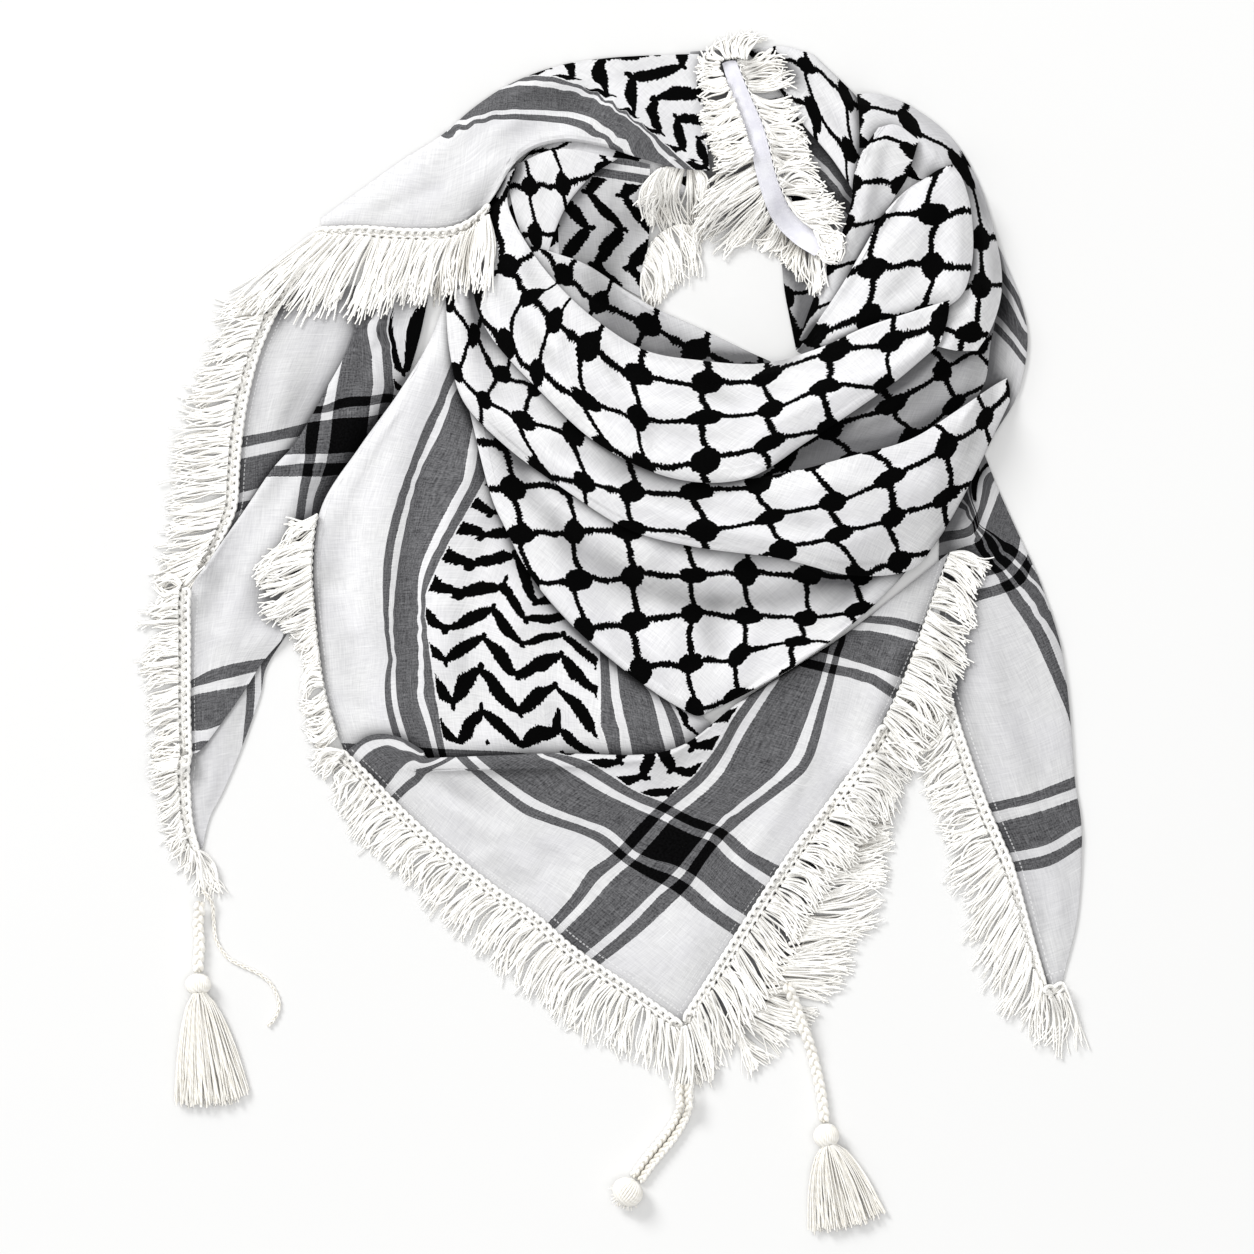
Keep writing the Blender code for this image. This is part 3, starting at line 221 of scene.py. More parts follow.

# Each stretch of cloth is a set of sections, lowest layer first.  A section has the cloth's height above what
# it lies on at its start, middle and end, and then x and y of its stations, from one side to the other.
# folds: radius of a folded edge at (start side, end side, first section, last section); 0 is a flat edge.
# a and b: a thread place, and the line of places on the laid cloth where it shows.
# net: a row's number q, its first knot's number p, and where its knots lie.
# lattice: net numbers (p, q) at both ends of every section.
# dull: how much painted shade greys a stretch, at its first and last section if there are two.
# contact: how much of the painted shade beside taller cloth it takes.
# A fringe has its tips, and either the cloth it is of, with the side and the span of that side's stations, or
# its hem and the cloth it is sewn_to.  turns: degrees that its end tufts fan out by.
# edging: share of its hem that is crocheted.  back: how far inside the hem its yarns start.
# wild, fullness and droop: how unruly it is, how many yarns it has, and how far its tips were combed down.
STRETCHES = (
    dict(name="right_shoulder_under", dull=0.12, folds=(0, 6, 0, 0), sections=(
        # heights, then left side, middle, right side
        (1,2,2, 266,234, 274,228, 278,222),
        (1,2,2, 257,194, 276,191, 292,186),
        (1,3,2, 254,158, 279,157, 297,157),
        (1,3,2, 248,122, 274,120, 290,120),
        (1,2,1, 240,94, 259,92, 274,92)),
        a=((10, 266,234, 257,194, 248,122, 240,94), (55, 278,222, 292,186, 297,157, 290,120)),
        b=((319, 274,215, 283,203, 289,193), (303, 273,199, 283,187, 294,166),
           (278, 271,179, 283,168, 296,150), (262, 270,167, 282,156, 296,139), (225, 245,97, 274,92))),
    dict(name="right_tail", dull=0.24, folds=(0, 5, 0, 0), sections=(
        (0,2,1, 223,82, 245,79, 266,76),
        (0,3,2, 227,47, 252,49, 278,46),
        (0,3,2, 233,18, 266,20, 293,13),
        (0,4,2, 233,-4, 267,-1, 301,-4),
        (0,4,2, 234,-32, 270,-27, 309,-24),
        (0,3,2, 235,-68, 278,-65, 321,-63),
        (0,3,2, 245,-109, 285,-109, 327,-107),
        (0,3,2, 266,-171, 299,-169, 331,-158),
        (0,3,2, 279,-202, 307,-196, 335,-184),
        (0,3,2, 287,-222, 312,-217, 336,-206),
        (0,2,1, 299,-266, 318,-264, 333,-256),
        (0,1,0, 310,-306, 316,-306, 322,-303)),
        a=((0, 234,-32, 235,-68, 245,-109, 266,-171, 279,-202, 287,-222, 299,-266, 310,-306),
           (67, 248,37, 253,23, 259,10, 266,0, 274,-12, 283,-27, 292,-40, 301,-55, 313,-81, 325,-109),
           (76, 254,38, 261,23, 269,6, 278,-6, 289,-21, 299,-36, 310,-53, 318,-72),
           (83, 263,20, 271,5, 280,-6, 293,-19, 305,-35, 317,-55),
           (107, 277,5, 284,-1, 290,-6, 297,-14, 306,-23, 313,-37),
           (121, 258,40, 263,24, 277,17, 290,8, 297,1, 303,-9), (62, 331,-158, 335,-184), (48, 336,-206),
           (33, 333,-256), (12, 322,-303), (60, 238,65), (130, 266,76)),
        b=((345, 245,79, 266,76), (319, 241,21, 253,23, 261,35, 263,46, 269,63),
           (311, 240,14, 254,17, 263,26, 266,37, 273,57), (303, 240,5, 252,10, 262,14, 267,25, 276,48),
           (278, 254,-17, 266,-12, 278,-9, 286,-1, 291,7, 292,16),
           (270, 258,-22, 274,-18, 284,-13, 291,-6, 296,2), (262, 260,-30, 279,-24, 289,-20, 297,-13, 300,-4),
           (200, 241,-94, 281,-94, 320,-72), (121, 270,-175, 299,-168, 330,-156),
           (113, 272,-181, 302,-174, 331,-164), (107, 276,-189, 306,-181, 332,-172),
           (83, 283,-211, 310,-205, 333,-192), (76, 284,-218, 313,-211, 335,-199),
           (67, 286,-225, 313,-220, 335,-207), (0, 310,-306, 322,-303))),
    dict(name="left_tail_turn", dull=0.2, sections=(
        (0,0,0, -254,-58, -244,-55, -236,-53),
        (0,0,0, -270,-81, -261,-79, -251,-77),
        (0,1,0, -288,-104, -272,-103, -256,-99),
        (0,1,0, -305,-142, -287,-140, -270,-138),
        (0,1,0, -306,-169, -294,-168, -282,-166),
        (0,0,0, -304,-191, -298,-189, -292,-186),
        (0,0,0, -300,-208, -299,-208, -297,-207)),
        a=((0, -305,-142, -307,-169, -305,-191), (30, -292,-104, -289,-144), (60, -270,-99, -273,-138)),
        b=((240, -263,-61, -241,-58), (200, -288,-104, -259,-101), (135, -302,-207, -295,-206))),
    dict(name="left_tail_far", dull=0.2, sections=(
        (0,2,4, -235,196, -198,197, -158,199),
        (0,3,4, -254,155, -220,157, -176,160),
        (0,2,2, -264,119, -234,121, -194,126),
        (0,1,1, -269,86, -248,91, -218,99),
        (0,1,1, -271,61, -257,65, -235,71),
        (0,1,0, -273,37, -266,40, -254,47),
        (0,0,0, -283,14, -278,15, -271,19),
        (0,0,0, -294,-4, -292,-4, -289,-1)),
        a=((0, -235,196, -254,155, -264,119, -269,86, -271,61, -273,37, -283,14, -294,-4),
           (60, -191,166, -202,130, -220,97)),
        b=((430, -227,194, -198,196), (385, -254,155, -202,157), (319, -268,89, -245,93, -221,99),
           (311, -268,81, -245,86, -227,89), (303, -269,73, -254,76, -235,80), (278, -271,48, -256,52),
           (270, -272,41, -263,43), (262, -274,34, -268,36), (222, -294,-4))),
    dict(name="bib_under", dull=0.25, sections=(
        (0,0,0, -133,-133, 25,-133, 191,-131),
        (0,0,0, -115,-173, 25,-176, 175,-176),
        (0,0,0, -54,-230, 47,-230, 153,-230),
        (0,0,0, 7,-281, 68,-281, 132,-281),
        (0,0,0, 47,-317, 77,-317, 110,-317),
        (0,0,0, 70,-338, 78,-338, 89,-338)),
        a=((0, 191,-131, 153,-230, 89,-338), (190, 25,-133, -11,-209)),
        b=((130, 70,-338, 89,-338), (255, -54,-230, 153,-230))),
    dict(name="fringe_right_tail", of="right_tail", side="left", turns=(20, 0), span=(4.4, 11),
        tips=(205,-76, 204,-109, 211,-138, 227,-173, 238,-209, 245,-245, 257,-281, 277,-324, 310,-353)),
    dict(name="fringe_right_tip", of="right_tail", side="last", turns=(0, 11), span=(0, 2),
        tips=(305,-354, 318,-355, 328,-348)),
    dict(name="fringe_left_far", of="left_tail_far", side="left", turns=(0, 44), span=(0, 7),
        tips=(-283,187, -295,151, -310,119, -319,86, -322,61, -325,36, -328,11, -333,-13)),
    dict(name="fringe_bib_under", of="bib_under", side="right", turns=(11, 22), edging=0.0, back=13.0,
        fullness=1.7, wild=1.2, span=(0.2, 5),
        tips=(200,-145, 198,-181, 191,-225, 174,-277, 144,-323, 108,-361)),
    dict(name="left_tail_near", dull=0.12, folds=(4, 0, 0, 0), sections=(
        (2,3,3, -182,191, -158,193, -133,196),
        (3,4,3, -191,155, -166,156, -142,155),
        (4,4,2, -209,121, -182,122, -155,117),
        (5,5,2, -229,86, -202,89, -175,81),
        (5,5,2, -247,65, -220,66, -191,54),
        (4,6,2, -266,37, -234,29, -205,18),
        (2,6,2, -293,-2, -256,-11, -221,-22),
        (0,5,2, -305,-22, -268,-32, -229,-40),
        (0,5,2, -306,-58, -274,-58, -238,-55),
        (0,3,0, -306,-88, -283,-81, -254,-74),
        (0,2,0, -306,-109, -287,-105, -270,-99),
        (0,1,0, -305,-140, -300,-138, -294,-132)),
        a=((0, -305,-22, -306,-58, -306,-94, -305,-140), (8, -293,-2), (28, -266,37), (45, -247,65),
           (67, -223,73, -228,43, -234,0, -238,-52, -254,-75, -265,-95),
           (76, -211,106, -216,73, -222,43, -227,0, -231,-53),
           (83, -186,174, -192,158, -197,140, -202,112, -207,73, -217,43),
           (107, -178,169, -176,151, -174,130, -176,114), (113, -171,169, -168,151, -166,126),
           (121, -164,169, -161,151, -159,126), (136, -156,162, -153,136), (155, -137,173, -135,155)),
        b=((372, -182,191, -137,194), (362, -176,169, -137,173), (350, -169,140, -153,136),
           (319, -209,111, -194,117, -176,118, -163,120), (303, -214,100, -198,102, -179,103),
           (278, -232,76, -212,76, -196,77), (270, -238,68, -220,70, -199,70),
           (262, -245,60, -227,60, -209,60), (175, -305,-29, -234,-22),
           (121, -304,-86, -288,-78, -266,-73, -253,-71), (113, -302,-91, -274,-84, -257,-80),
           (107, -305,-98, -288,-94, -269,-91), (83, -305,-123, -290,-121, -279,-117),
           (76, -304,-132, -292,-130), (67, -305,-138, -296,-136))),
    dict(name="fringe_left_near", of="left_tail_near", side="left", turns=(22, 22), span=(7, 11),
        tips=(-335,-18, -340,-58, -340,-89, -338,-112, -336,-143)),
    dict(name="fringe_left_turn", of="left_tail_turn", side="left", turns=(11, 33), span=(3, 6),
        tips=(-335,-145, -332,-176, -325,-209, -299,-245)),
    dict(name="bib_side", folds=(6, 0, 0, 0), sections=(
        # left fold or hem, then inwards
        (6,6,3, -122,189, -115,189, -108,188, -101,187),
        (8,8,3, -135,155, -122,151, -109,148, -96,144),
        (9,9,3, -156,120, -132,115, -107,109, -90,102),
        (9,9,3, -184,81, -148,79, -110,75, -77,65),
        (8,9,2, -210,41, -158,41, -104,33, -55,14),
        (5,11,2, -217,0, -163,0, -104,-9, -36,-29),
        (2,11,2, -215,-43, -158,-43, -90,-50, -11,-63),
        (1,8,2, -209,-90, -137,-89, -50,-95, 54,-107),
        (1,4,1, -199,-126, -127,-128, -41,-130, 72,-121),
        (0,2,0, -191,-148, -119,-148, -40,-147, 77,-135)),
        a=((2, -217,0, -215,-43, -209,-90, -199,-126, -191,-148), (14, -210,41), (30, -184,81),
           (42, -156,120), (52, -135,155),
           (67, -117,144, -128,115, -138,94, -149,65, -157,43, -164,14, -167,-11, -166,-43, -163,-71),
           (76, -122,114, -132,92, -143,65, -150,43, -158,14, -161,-11, -163,-43, -161,-65),
           (83, -118,115, -125,94, -140,65, -147,43, -153,14, -157,-11, -160,-43, -158,-78),
           (107, -109,58, -117,43, -132,14, -141,-11, -141,-43, -141,-76, -142,-101),
           (113, -103,58, -110,43, -125,14, -137,-11, -140,-40, -138,-72, -138,-94),
           (121, -94,58, -102,43, -119,14, -131,-11, -137,-29, -135,-54, -132,-76, -128,-104),
           (136, -95,16, -104,-4, -112,-25, -121,-49, -122,-73, -117,-101, -114,-128),
           (167, -73,2, -81,-20, -88,-36, -94,-55, -97,-80, -96,-107),
           (198, -56,-29, -63,-42, -66,-59, -70,-83, -69,-109, -66,-133), (229, -40,-68, -42,-89, -41,-114),
           (259, -13,-94, -15,-120), (270, -4,-79, -2,-101, 3,-122), (278, 1,-73, 4,-101, 9,-122),
           (303, 18,-81, 27,-101, 32,-121), (311, 25,-90, 35,-106), (319, 38,-101, 47,-118)),
        b=((325, -199,-126, -114,-130, -66,-133, -11,-145), (345, -96,-109, -41,-114),
           (350, -205,-104, -117,-101, -70,-109, -14,-122), (370, -97,-81, -42,-90),
           (375, -209,-83, -121,-72, -71,-84, -13,-94), (395, -94,-56, -38,-69),
           (400, -212,-58, -121,-49, -66,-60), (420, -88,-37, -36,-55), (425, -215,-32, -112,-24, -61,-43),
           (445, -84,-20, -81,-20), (450, -217,-9, -104,-2, -58,-29), (470, -75,3, -72,3),
           (475, -215,14, -94,18), (555, -176,94, -104,76), (635, -133,166, -101,158))),
    dict(name="fringe_bib_side", of="bib_side", side="left", turns=(11, 0), edging=0.0, fullness=1.6,
        droop=4.0, wild=1.2, span=(4.2, 8),
        tips=(-233,24, -253,0, -258,-22, -248,-40, -234,-55, -224,-78, -225,-99, -224,-117, -217,-134)),
    dict(name="bib_front", dull=0.11, folds=(0, 9, 0, 0), sections=(
        # lines parallel to the right hem, from the left hem to the fold under the net
        (0,1,2, 47,-332, 118,-222, 192,-117, 240,5),
        (1,1,3, 9,-305, 81,-213, 152,-112, 200,-27),
        (1,2,4, -29,-279, 42,-203, 102,-122, 159,-58),
        (1,2,7, -58,-254, -1,-200, 54,-145, 91,-101),
        (1,3,9, -89,-233, -45,-198, -2,-166, 38,-137),
        (1,4,9, -131,-199, -104,-176, -77,-157, -47,-139),
        (1,4,9, -157,-175, -147,-164, -137,-153, -125,-142),
        (1,5,8, -176,-155, -165,-145, -153,-141, -135,-142),
        (1,5,3, -194,-138, -176,-126, -156,-127, -138,-137)),
        a=((0, 47,-332, 9,-305, -29,-279, -58,-254, -89,-233, -131,-199, -157,-175, -176,-155, -194,-138),
           (67, -114,-142, -97,-158, -68,-181, -49,-189, -25,-197, -11,-204, 7,-218, 25,-229, 44,-239,
            61,-253, 81,-267),
           (83, -99,-142, -83,-155, -54,-174, -25,-186, -4,-194, 18,-212, 44,-220, 61,-230, 79,-246, 94,-256),
           (107, -58,-138, -40,-148, -11,-166, 18,-180, 34,-187, 54,-197, 70,-203, 83,-216, 110,-236),
           (121, -48,-138, -25,-143, -11,-150, 14,-166, 36,-175, 54,-184, 79,-194, 97,-209, 120,-221),
           (190, 97,-133, 169,-155), (262, 161,-83, 184,-90, 202,-101), (270, 162,-76, 184,-81, 205,-94),
           (278, 162,-70, 187,-78, 209,-86), (303, 169,-50, 191,-52, 223,-61),
           (311, 178,-45, 205,-48, 225,-55), (319, 184,-40, 205,-42, 228,-49), (391, 240,5)),
        b=((0, 47,-332, 81,-277, 118,-222, 155,-168, 192,-117, 220,-58, 240,5),
           (67, 166,-54, 161,-72, 154,-101, 142,-144, 126,-162, 108,-175, 81,-198, 65,-217, 53,-235, 22,-265,
            -13,-293),
           (76, 161,-58, 156,-72, 148,-101, 135,-142, 119,-158, 101,-173, 77,-189, 61,-210, 47,-229, 32,-241,
            11,-263, -17,-287),
           (83, 155,-61, 148,-86, 135,-122, 126,-142, 112,-158, 90,-175, 70,-193, 59,-205, 45,-222, 29,-238,
            7,-259, -22,-284),
           (107, 126,-73, 108,-101, 90,-130, 81,-148, 70,-162, 54,-176, 40,-187, 29,-200, 14,-216, -2,-230,
            -18,-248, -41,-271),
           (121, 108,-83, 86,-112, 76,-130, 63,-148, 54,-158, 32,-176, 14,-194, -2,-212, -18,-223, -32,-243,
            -50,-263), (190, -11,-140, -54,-166, -99,-222), (262, -158,-175, -140,-158, -126,-148, -115,-142),
           (270, -162,-171, -148,-158, -133,-148), (278, -167,-166, -155,-151, -144,-144),
           (303, -184,-145, -175,-137, -163,-133, -153,-137),
           (311, -189,-142, -182,-133, -166,-129, -153,-131, -140,-139),
           (319, -195,-135, -185,-127, -169,-123, -153,-126, -138,-135))),
    dict(name="fringe_bib_left", of="bib_front", side="left", turns=(22, 55), span=(0, 8),
        tips=(55,-384, -7,-350, -58,-317, -91,-289, -120,-263, -163,-222, -185,-200, -201,-179, -214,-155)),
    dict(name="fringe_bib_right", of="bib_front", side="first", turns=(22, 22), edging=0.66, span=(0.04, 3),
        tips=(66,-384, 113,-310, 158,-234, 194,-187, 225,-135, 253,-73, 266,-9)),
    dict(name="neck_back", dull=0.25, folds=(0, 0, 5, 0), sections=(
        (2,2,2, 54,366, 72,367, 90,366),
        (2,3,2, 58,324, 81,323, 104,320),
        (2,3,2, 61,281, 89,279, 115,277),
        (1,1,1, 67,248, 97,245, 130,239)),
        a=((5, 54,324, 61,281), (60, 104,324, 115,277)),
        b=((240, 54,366, 90,366), (150, 67,248, 130,239))),
    dict(name="neck_back_band", dull=0.25, sections=(
        (1,1,1, 110,331, 126,333, 142,331),
        (1,1,1, 120,302, 139,304, 161,301),
        (1,1,1, 133,270, 153,272, 178,266),
        (1,1,1, 149,236, 161,239, 174,243)),
        a=((67, 133,279, 149,265, 168,245), (83, 132,298, 151,283, 171,258),
           (107, 128,320, 144,308, 158,288, 174,263), (121, 142,331, 162,302, 176,274)),
        b=((240, 110,331, 142,331), (150, 149,236, 174,243))),
    dict(name="neck_back_net", dull=0.06, folds=(3, 4, 6, 0), sections=(
        (2,3,2, 94,367, 120,370, 143,364),
        (3,4,3, 115,342, 144,346, 174,333),
        (3,5,3, 133,315, 159,318, 182,315),
        (3,4,3, 156,287, 169,289, 182,288),
        (2,2,2, 174,259, 176,261, 180,263)),
        net=((0,0, 137,356, 166,333), (1,0, 142,323, 168,292), (0,-1, 115,360), (1,2, 187,281))),
    dict(name="neck_wall_right", dull=0.3, sections=(
        (0,0,0, 120,215, 132,215, 145,215),
        (0,0,0, 122,194, 133,194, 145,194),
        (0,0,0, 126,173, 134,173, 142,173),
        (0,0,0, 130,153, 132,153, 136,153)),
        net=((0,0, 112,215, 149,222), (1,0, 122,190, 156,197), (2,0, 131,158))),
    dict(name="inner_leaf", dull=(0.75, 0.0), contact=0.45, sections=(
        # from the left roll to the neck: top, middle, bottom
        (1,1,1, -40,288, -41,252, -40,215),
        (1,3,1, -14,289, -18,251, -18,207),
        (1,3,1, 7,288, 4,248, 0,199),
        (1,1,1, 25,284, 25,241, 19,189)),
        a=((136, -42,266, -18,264, 6,261), (167, -27,238, -2,239, 24,233), (198, -38,215, -13,212, 12,209)),
        b=((475, -42,266, -38,215), (500, -18,264, -13,212), (525, 6,261, 12,209))),
    dict(name="fringe_inner", sewn_to="inner_leaf", edging=0.0, fullness=1.6, droop=2.0, wild=1.3,
        hem=(19,207, 23,222, 29,233, 38,240, 48,243, 57,243, 61,262, 61,280, 54,284, 44,284, 35,283, 30,279,
             28,271),
        tips=(25,185, 32,189, 41,194, 51,202, 58,215, 60,227, 67,242, 66,255, 61,240, 44,238, 29,238, 22,249,
              21,256)),
    dict(name="inner_net", dull=0.12, folds=(0, 5, 0, 0), sections=(
        (1,3,3, -72,284, -40,295, 2,288),
        (1,4,4, -76,270, -50,274, -17,275),
        (1,4,4, -73,252, -54,253, -34,255),
        (1,3,3, -67,234, -57,235, -44,233),
        (1,1,1, -58,219, -53,219, -48,219)),
        net=((0,0, -61,268, -38,269), (1,0, -57,233, -32,235), (0,2, -6,279), (-1,0, -67,301, -45,302))),
    dict(name="collar", dull=0.14, folds=(3, 0, 0, 0), sections=(
        (1,1,1, -60,225, -64,219, -68,210),
        (2,2,1, -40,219, -48,206, -57,193),
        (3,3,1, -17,210, -28,193, -40,174),
        (4,4,1, 22,185, 5,166, -11,148),
        (4,4,1, 61,167, 53,150, 43,128),
        (3,3,1, 94,151, 90,140, 85,125),
        (1,1,1, 112,143, 110,135, 107,126)),
        net=((0,-1, -60,230, -37,204, -12,185, 24,169, 58,151, 99,135),
             (1,0, -53,176, -29,156, 6,138, 41,120), (-1,0, -18,232, 6,215, 41,198, 77,181, 115,163))),
    dict(name="net_apron", folds=(9, 9, 0, 0), sections=(
        # lines across the apron, from its left fold to its right fold
        (3,2,3, -107,117, -40,86, 47,65, 133,58, 223,65),
        (5,3,4, -91,52, -40,49, 47,45, 133,43, 230,50),
        (8,4,7, -79,23, -18,21, 54,17, 133,19, 227,18),
        (9,6,9, -59,-14, -4,-17, 54,-14, 126,-12, 208,-10),
        (9,8,9, -30,-48, 12,-48, 55,-43, 119,-43, 178,-40),
        (9,9,9, 5,-78, 29,-76, 55,-73, 96,-71, 139,-70),
        (7,8,7, 34,-99, 45,-97, 59,-95, 81,-93, 102,-92),
        (3,3,3, 55,-111, 58,-112, 61,-112, 65,-111, 69,-109)),
        net=((-2,0, -77,86), (-1,0, -73,52, -32,53),
             (0,0, -68,18, -30,20, 8,21, 54,20, 94,21, 135,20, 182,20, 223,23),
             (1,0, -61,-17, -27,-15, 13,-12, 55,-12, 93,-9, 138,-10, 177,-12),
             (2,1, -22,-50, 14,-44, 55,-38, 96,-40, 137,-43, 174,-35), (3,2, 18,-80, 54,-74, 89,-69, 131,-58),
             (4,3, 57,-109, 86,-99))),
    dict(name="recess_fold", dull=0.58, sections=(
        (2,3,1, 245,198, 263,195, 277,189),
        (2,3,1, 238,173, 256,166, 270,156),
        (2,3,1, 220,151, 241,138, 263,122),
        (1,2,1, 191,133, 212,114, 234,94),
        (1,2,1, 155,115, 174,95, 191,73),
        (1,1,1, 119,97, 130,76, 142,54),
        (0,0,0, 89,76, 94,61, 99,47)),
        net=((0,6, 122,71, 153,94, 198,110, 235,135, 262,153), (1,6, 133,43, 170,71, 212,86, 243,112),
             (-1,7, 142,117, 185,136, 222,161, 246,176), (-2,10, 234,198), (0,11, 286,171),
             (-1,11, 270,198))),
    dict(name="shoulder", folds=(0, 8, 0, 0), sections=(
        (3,5,3, 175,295, 175,315, 174,335),
        (4,8,3, 194,295, 194,315, 192,335),
        (4,10,3, 216,275, 220,302, 216,325),
        (4,9,3, 233,270, 240,288, 244,302),
        (4,8,3, 241,256, 254,262, 264,266),
        (4,8,3, 245,222, 261,223, 276,223),
        (4,7,3, 241,194, 261,194, 278,194),
        (3,6,2, 233,173, 253,169, 271,168),
        (2,4,2, 223,155, 243,150, 260,150)),
        lattice=((0,0, 1.3,0), (0,0.5, 1.4,0.5), (0.1,1.2, 1.5,1.2), (0.2,1.8, 1.4,1.8), (0.3,2.3, 1.3,2.3),
                 (0.4,3.2, 1.5,3.2), (0.4,4.1, 1.5,4.1), (0.4,4.8, 1.4,4.8), (0.5,5.4, 1.3,5.4))),
    dict(name="inner_right", dull=0.1, folds=(5, 0, 0, 5), sections=(
        (1,1,1, 130,151, 134,154, 139,158),
        (2,4,2, 139,178, 145,179, 153,181),
        (3,6,3, 149,204, 158,205, 169,207),
        (3,8,4, 161,230, 171,231, 184,233),
        (3,9,5, 169,255, 182,255, 198,256),
        (3,9,5, 171,275, 186,276, 209,273),
        (2,7,4, 178,294, 192,297, 214,288),
        (1,3,2, 189,310, 202,312, 218,301)),
        lattice=((0,0, 0.2,0), (0,0.9, 0.4,0.9), (0,1.8, 0.6,1.8), (0,2.7, 0.8,2.7), (0,3.5, 0.9,3.5),
                 (0,4.2, 1,4.2), (0.1,4.8, 1,4.8), (0.2,5.4, 0.9,5.4))),
    dict(name="petal", folds=(7, 8, 0, 6), sections=(
        (1,1,1, 131,150, 135,148, 142,148),
        (3,5,2, 144,169, 171,167, 209,171),
        (4,9,4, 162,196, 198,193, 245,186),
        (5,12,5, 178,223, 216,222, 256,213),
        (5,12,5, 192,247, 223,249, 256,247),
        (4,8,4, 209,265, 228,271, 250,272),
        (2,3,2, 223,274, 232,280, 242,284)),
        net=((0,0, 184,209, 227,211), (1,1, 227,248), (1,0, 186,246), (-1,0, 182,174, 222,174),
             (-1,-1, 144,161), (2,1, 230,284), (2,0, 189,275), (0,2, 266,209))),
    dict(name="roll_lower", folds=(0, 9, 0, 7), sections=(
        # from the roll above it to its own fold
        (3,5,4, -90,198, -107,196, -122,191),
        (3,7,5, -83,169, -103,162, -119,151),
        (3,8,6, -65,140, -90,126, -109,114),
        (2,7,6, -25,112, -54,94, -79,82),
        (2,6,5, 11,86, -14,65, -40,53),
        (2,6,5, 54,71, 32,43, 9,22),
        (3,7,5, 86,58, 72,32, 58,9),
        (5,9,6, 126,63, 122,32, 117,1),
        (6,11,7, 169,74, 169,32, 169,-11),
        (7,12,8, 211,86, 211,43, 210,-8),
        (6,11,7, 245,107, 238,61, 230,11),
        (5,8,5, 270,124, 266,94, 254,52),
        (3,3,3, 282,131, 284,123, 284,114)),
        net=((-2,-2, -121,187), (-3,-1, -89,189), (-2,-1, -102,162, -81,132),
             (-1,-1, -114,135, -94,115, -67,101, -31,92),
             (0,0, -97,91, -52,60, -22,55, 12,48, 58,49, 102,55, 139,71, 181,84, 221,109, 254,131),
             (1,3, 9,23, 63,20, 110,30, 157,40, 198,59, 238,81, 266,102, 286,124),
             (2,4, 72,-4, 120,7, 159,19, 198,30, 238,45), (3,6, 175,-12, 204,-1))),
    dict(name="roll_upper", folds=(7, 9, 0, 5), sections=(
        # from the neck side to the outer fold
        (3,5,3, -71,282, -79,276, -87,270),
        (4,8,5, -77,256, -89,251, -99,234),
        (4,10,6, -61,223, -83,212, -102,194),
        (4,12,7, -38,194, -65,177, -89,160),
        (5,13,8, -11,170, -32,146, -54,121),
        (5,14,8, 22,150, 6,117, -11,82),
        (5,15,9, 61,143, 54,101, 42,58),
        (5,15,9, 104,141, 101,101, 94,58),
        (5,14,8, 144,151, 142,119, 137,84),
        (5,12,7, 178,166, 176,137, 175,109),
        (4,8,5, 211,177, 209,155, 204,130),
        (2,3,2, 240,186, 238,171, 233,155)),
        net=((0,-1, -90,250, -77,210, -61,189, -44,171, -19,153, 16,132, 66,126, 107,130, 159,150, 197,155,
              232,171), (1,0, -103,184, -78,154, -56,134, -23,114, 16,101, 63,102, 112,107, 150,124, 193,123),
             (2,3, -8,81, 19,69, 65,70, 110,84, 153,94), (-0.6,-1, -74,270, -57,222), (-0.5,1, -42,198),
             (-0.45,2, -32,187), (-0.4,3, -10,168, 19,147), (-0.5,5, 66,144))),
    dict(name="shoulder_wrap", dull=(0.14, 0.0), folds=(6, 7, 0, 0), sections=(
        # from the neck fold or hem to the outer fold
        (2,3,1, 68,279, 64,318, 61,364),
        (3,5,2, 45,281, 38,318, 47,364),
        (4,7,2, 19,288, 13,324, 18,363),
        (5,9,3, -11,297, -10,326, -9,361),
        (6,10,3, -40,300, -39,328, -40,356),
        (6,10,3, -68,289, -68,326, -73,344),
        (4,9,3, -91,256, -95,295, -100,327),
        (3,7,3, -115,240, -120,275, -126,305),
        (1,5,2, -148,238, -149,264, -153,288),
        (1,3,1, -182,240, -183,253, -184,266),
        (0,1,0, -211,239, -212,243, -212,246)),
        a=((0, -115,240, -148,238, -182,240, -211,239), (35, -90,281, -126,266), (45, -40,298, -11,297),
           (67, -126,306, -104,313, -83,317, -40,314, -22,308, -4,295),
           (76, -119,308, -83,320, -43,319, -18,313, 4,297),
           (83, -104,318, -83,323, -47,323, -18,318, 11,294),
           (107, -90,337, -68,341, -40,338, -11,328, 18,310, 29,295),
           (113, -83,341, -65,345, -40,343, -11,332, 22,308, 37,292),
           (121, -76,344, -61,348, -40,346, -11,336, 18,315, 47,288),
           (136, -29,346, -7,333, 14,317, 33,306, 56,289), (167, -11,363, 11,348, 25,335, 41,321, 61,302),
           (198, 19,369, 50,353, 64,325)),
        b=((727, -211,243), (660, -151,266), (626, -120,275), (600, -95,295), (575, -70,331, -68,292),
           (535, -45,343, -25,363), (510, -25,332, 4,360), (485, 4,323, 40,359), (460, 18,307, 54,343),
           (435, 47,305, 68,325), (412, 61,294, 72,302))),
    dict(name="fringe_wrap", of="shoulder_wrap", side="left", turns=(11, 0), fullness=1.5, span=(6, 10),
        tips=(-103,194, -126,191, -157,181, -194,179, -234,181, -279,187)),
    dict(name="fringe_neck", sewn_to="neck_back", edging=0.0, fullness=1.6, droop=10.0, wild=1.3, back=6.0,
        hem=(99,290, 101,281, 104,270, 109,257, 114,246, 120,236, 130,228, 140,222, 149,219),
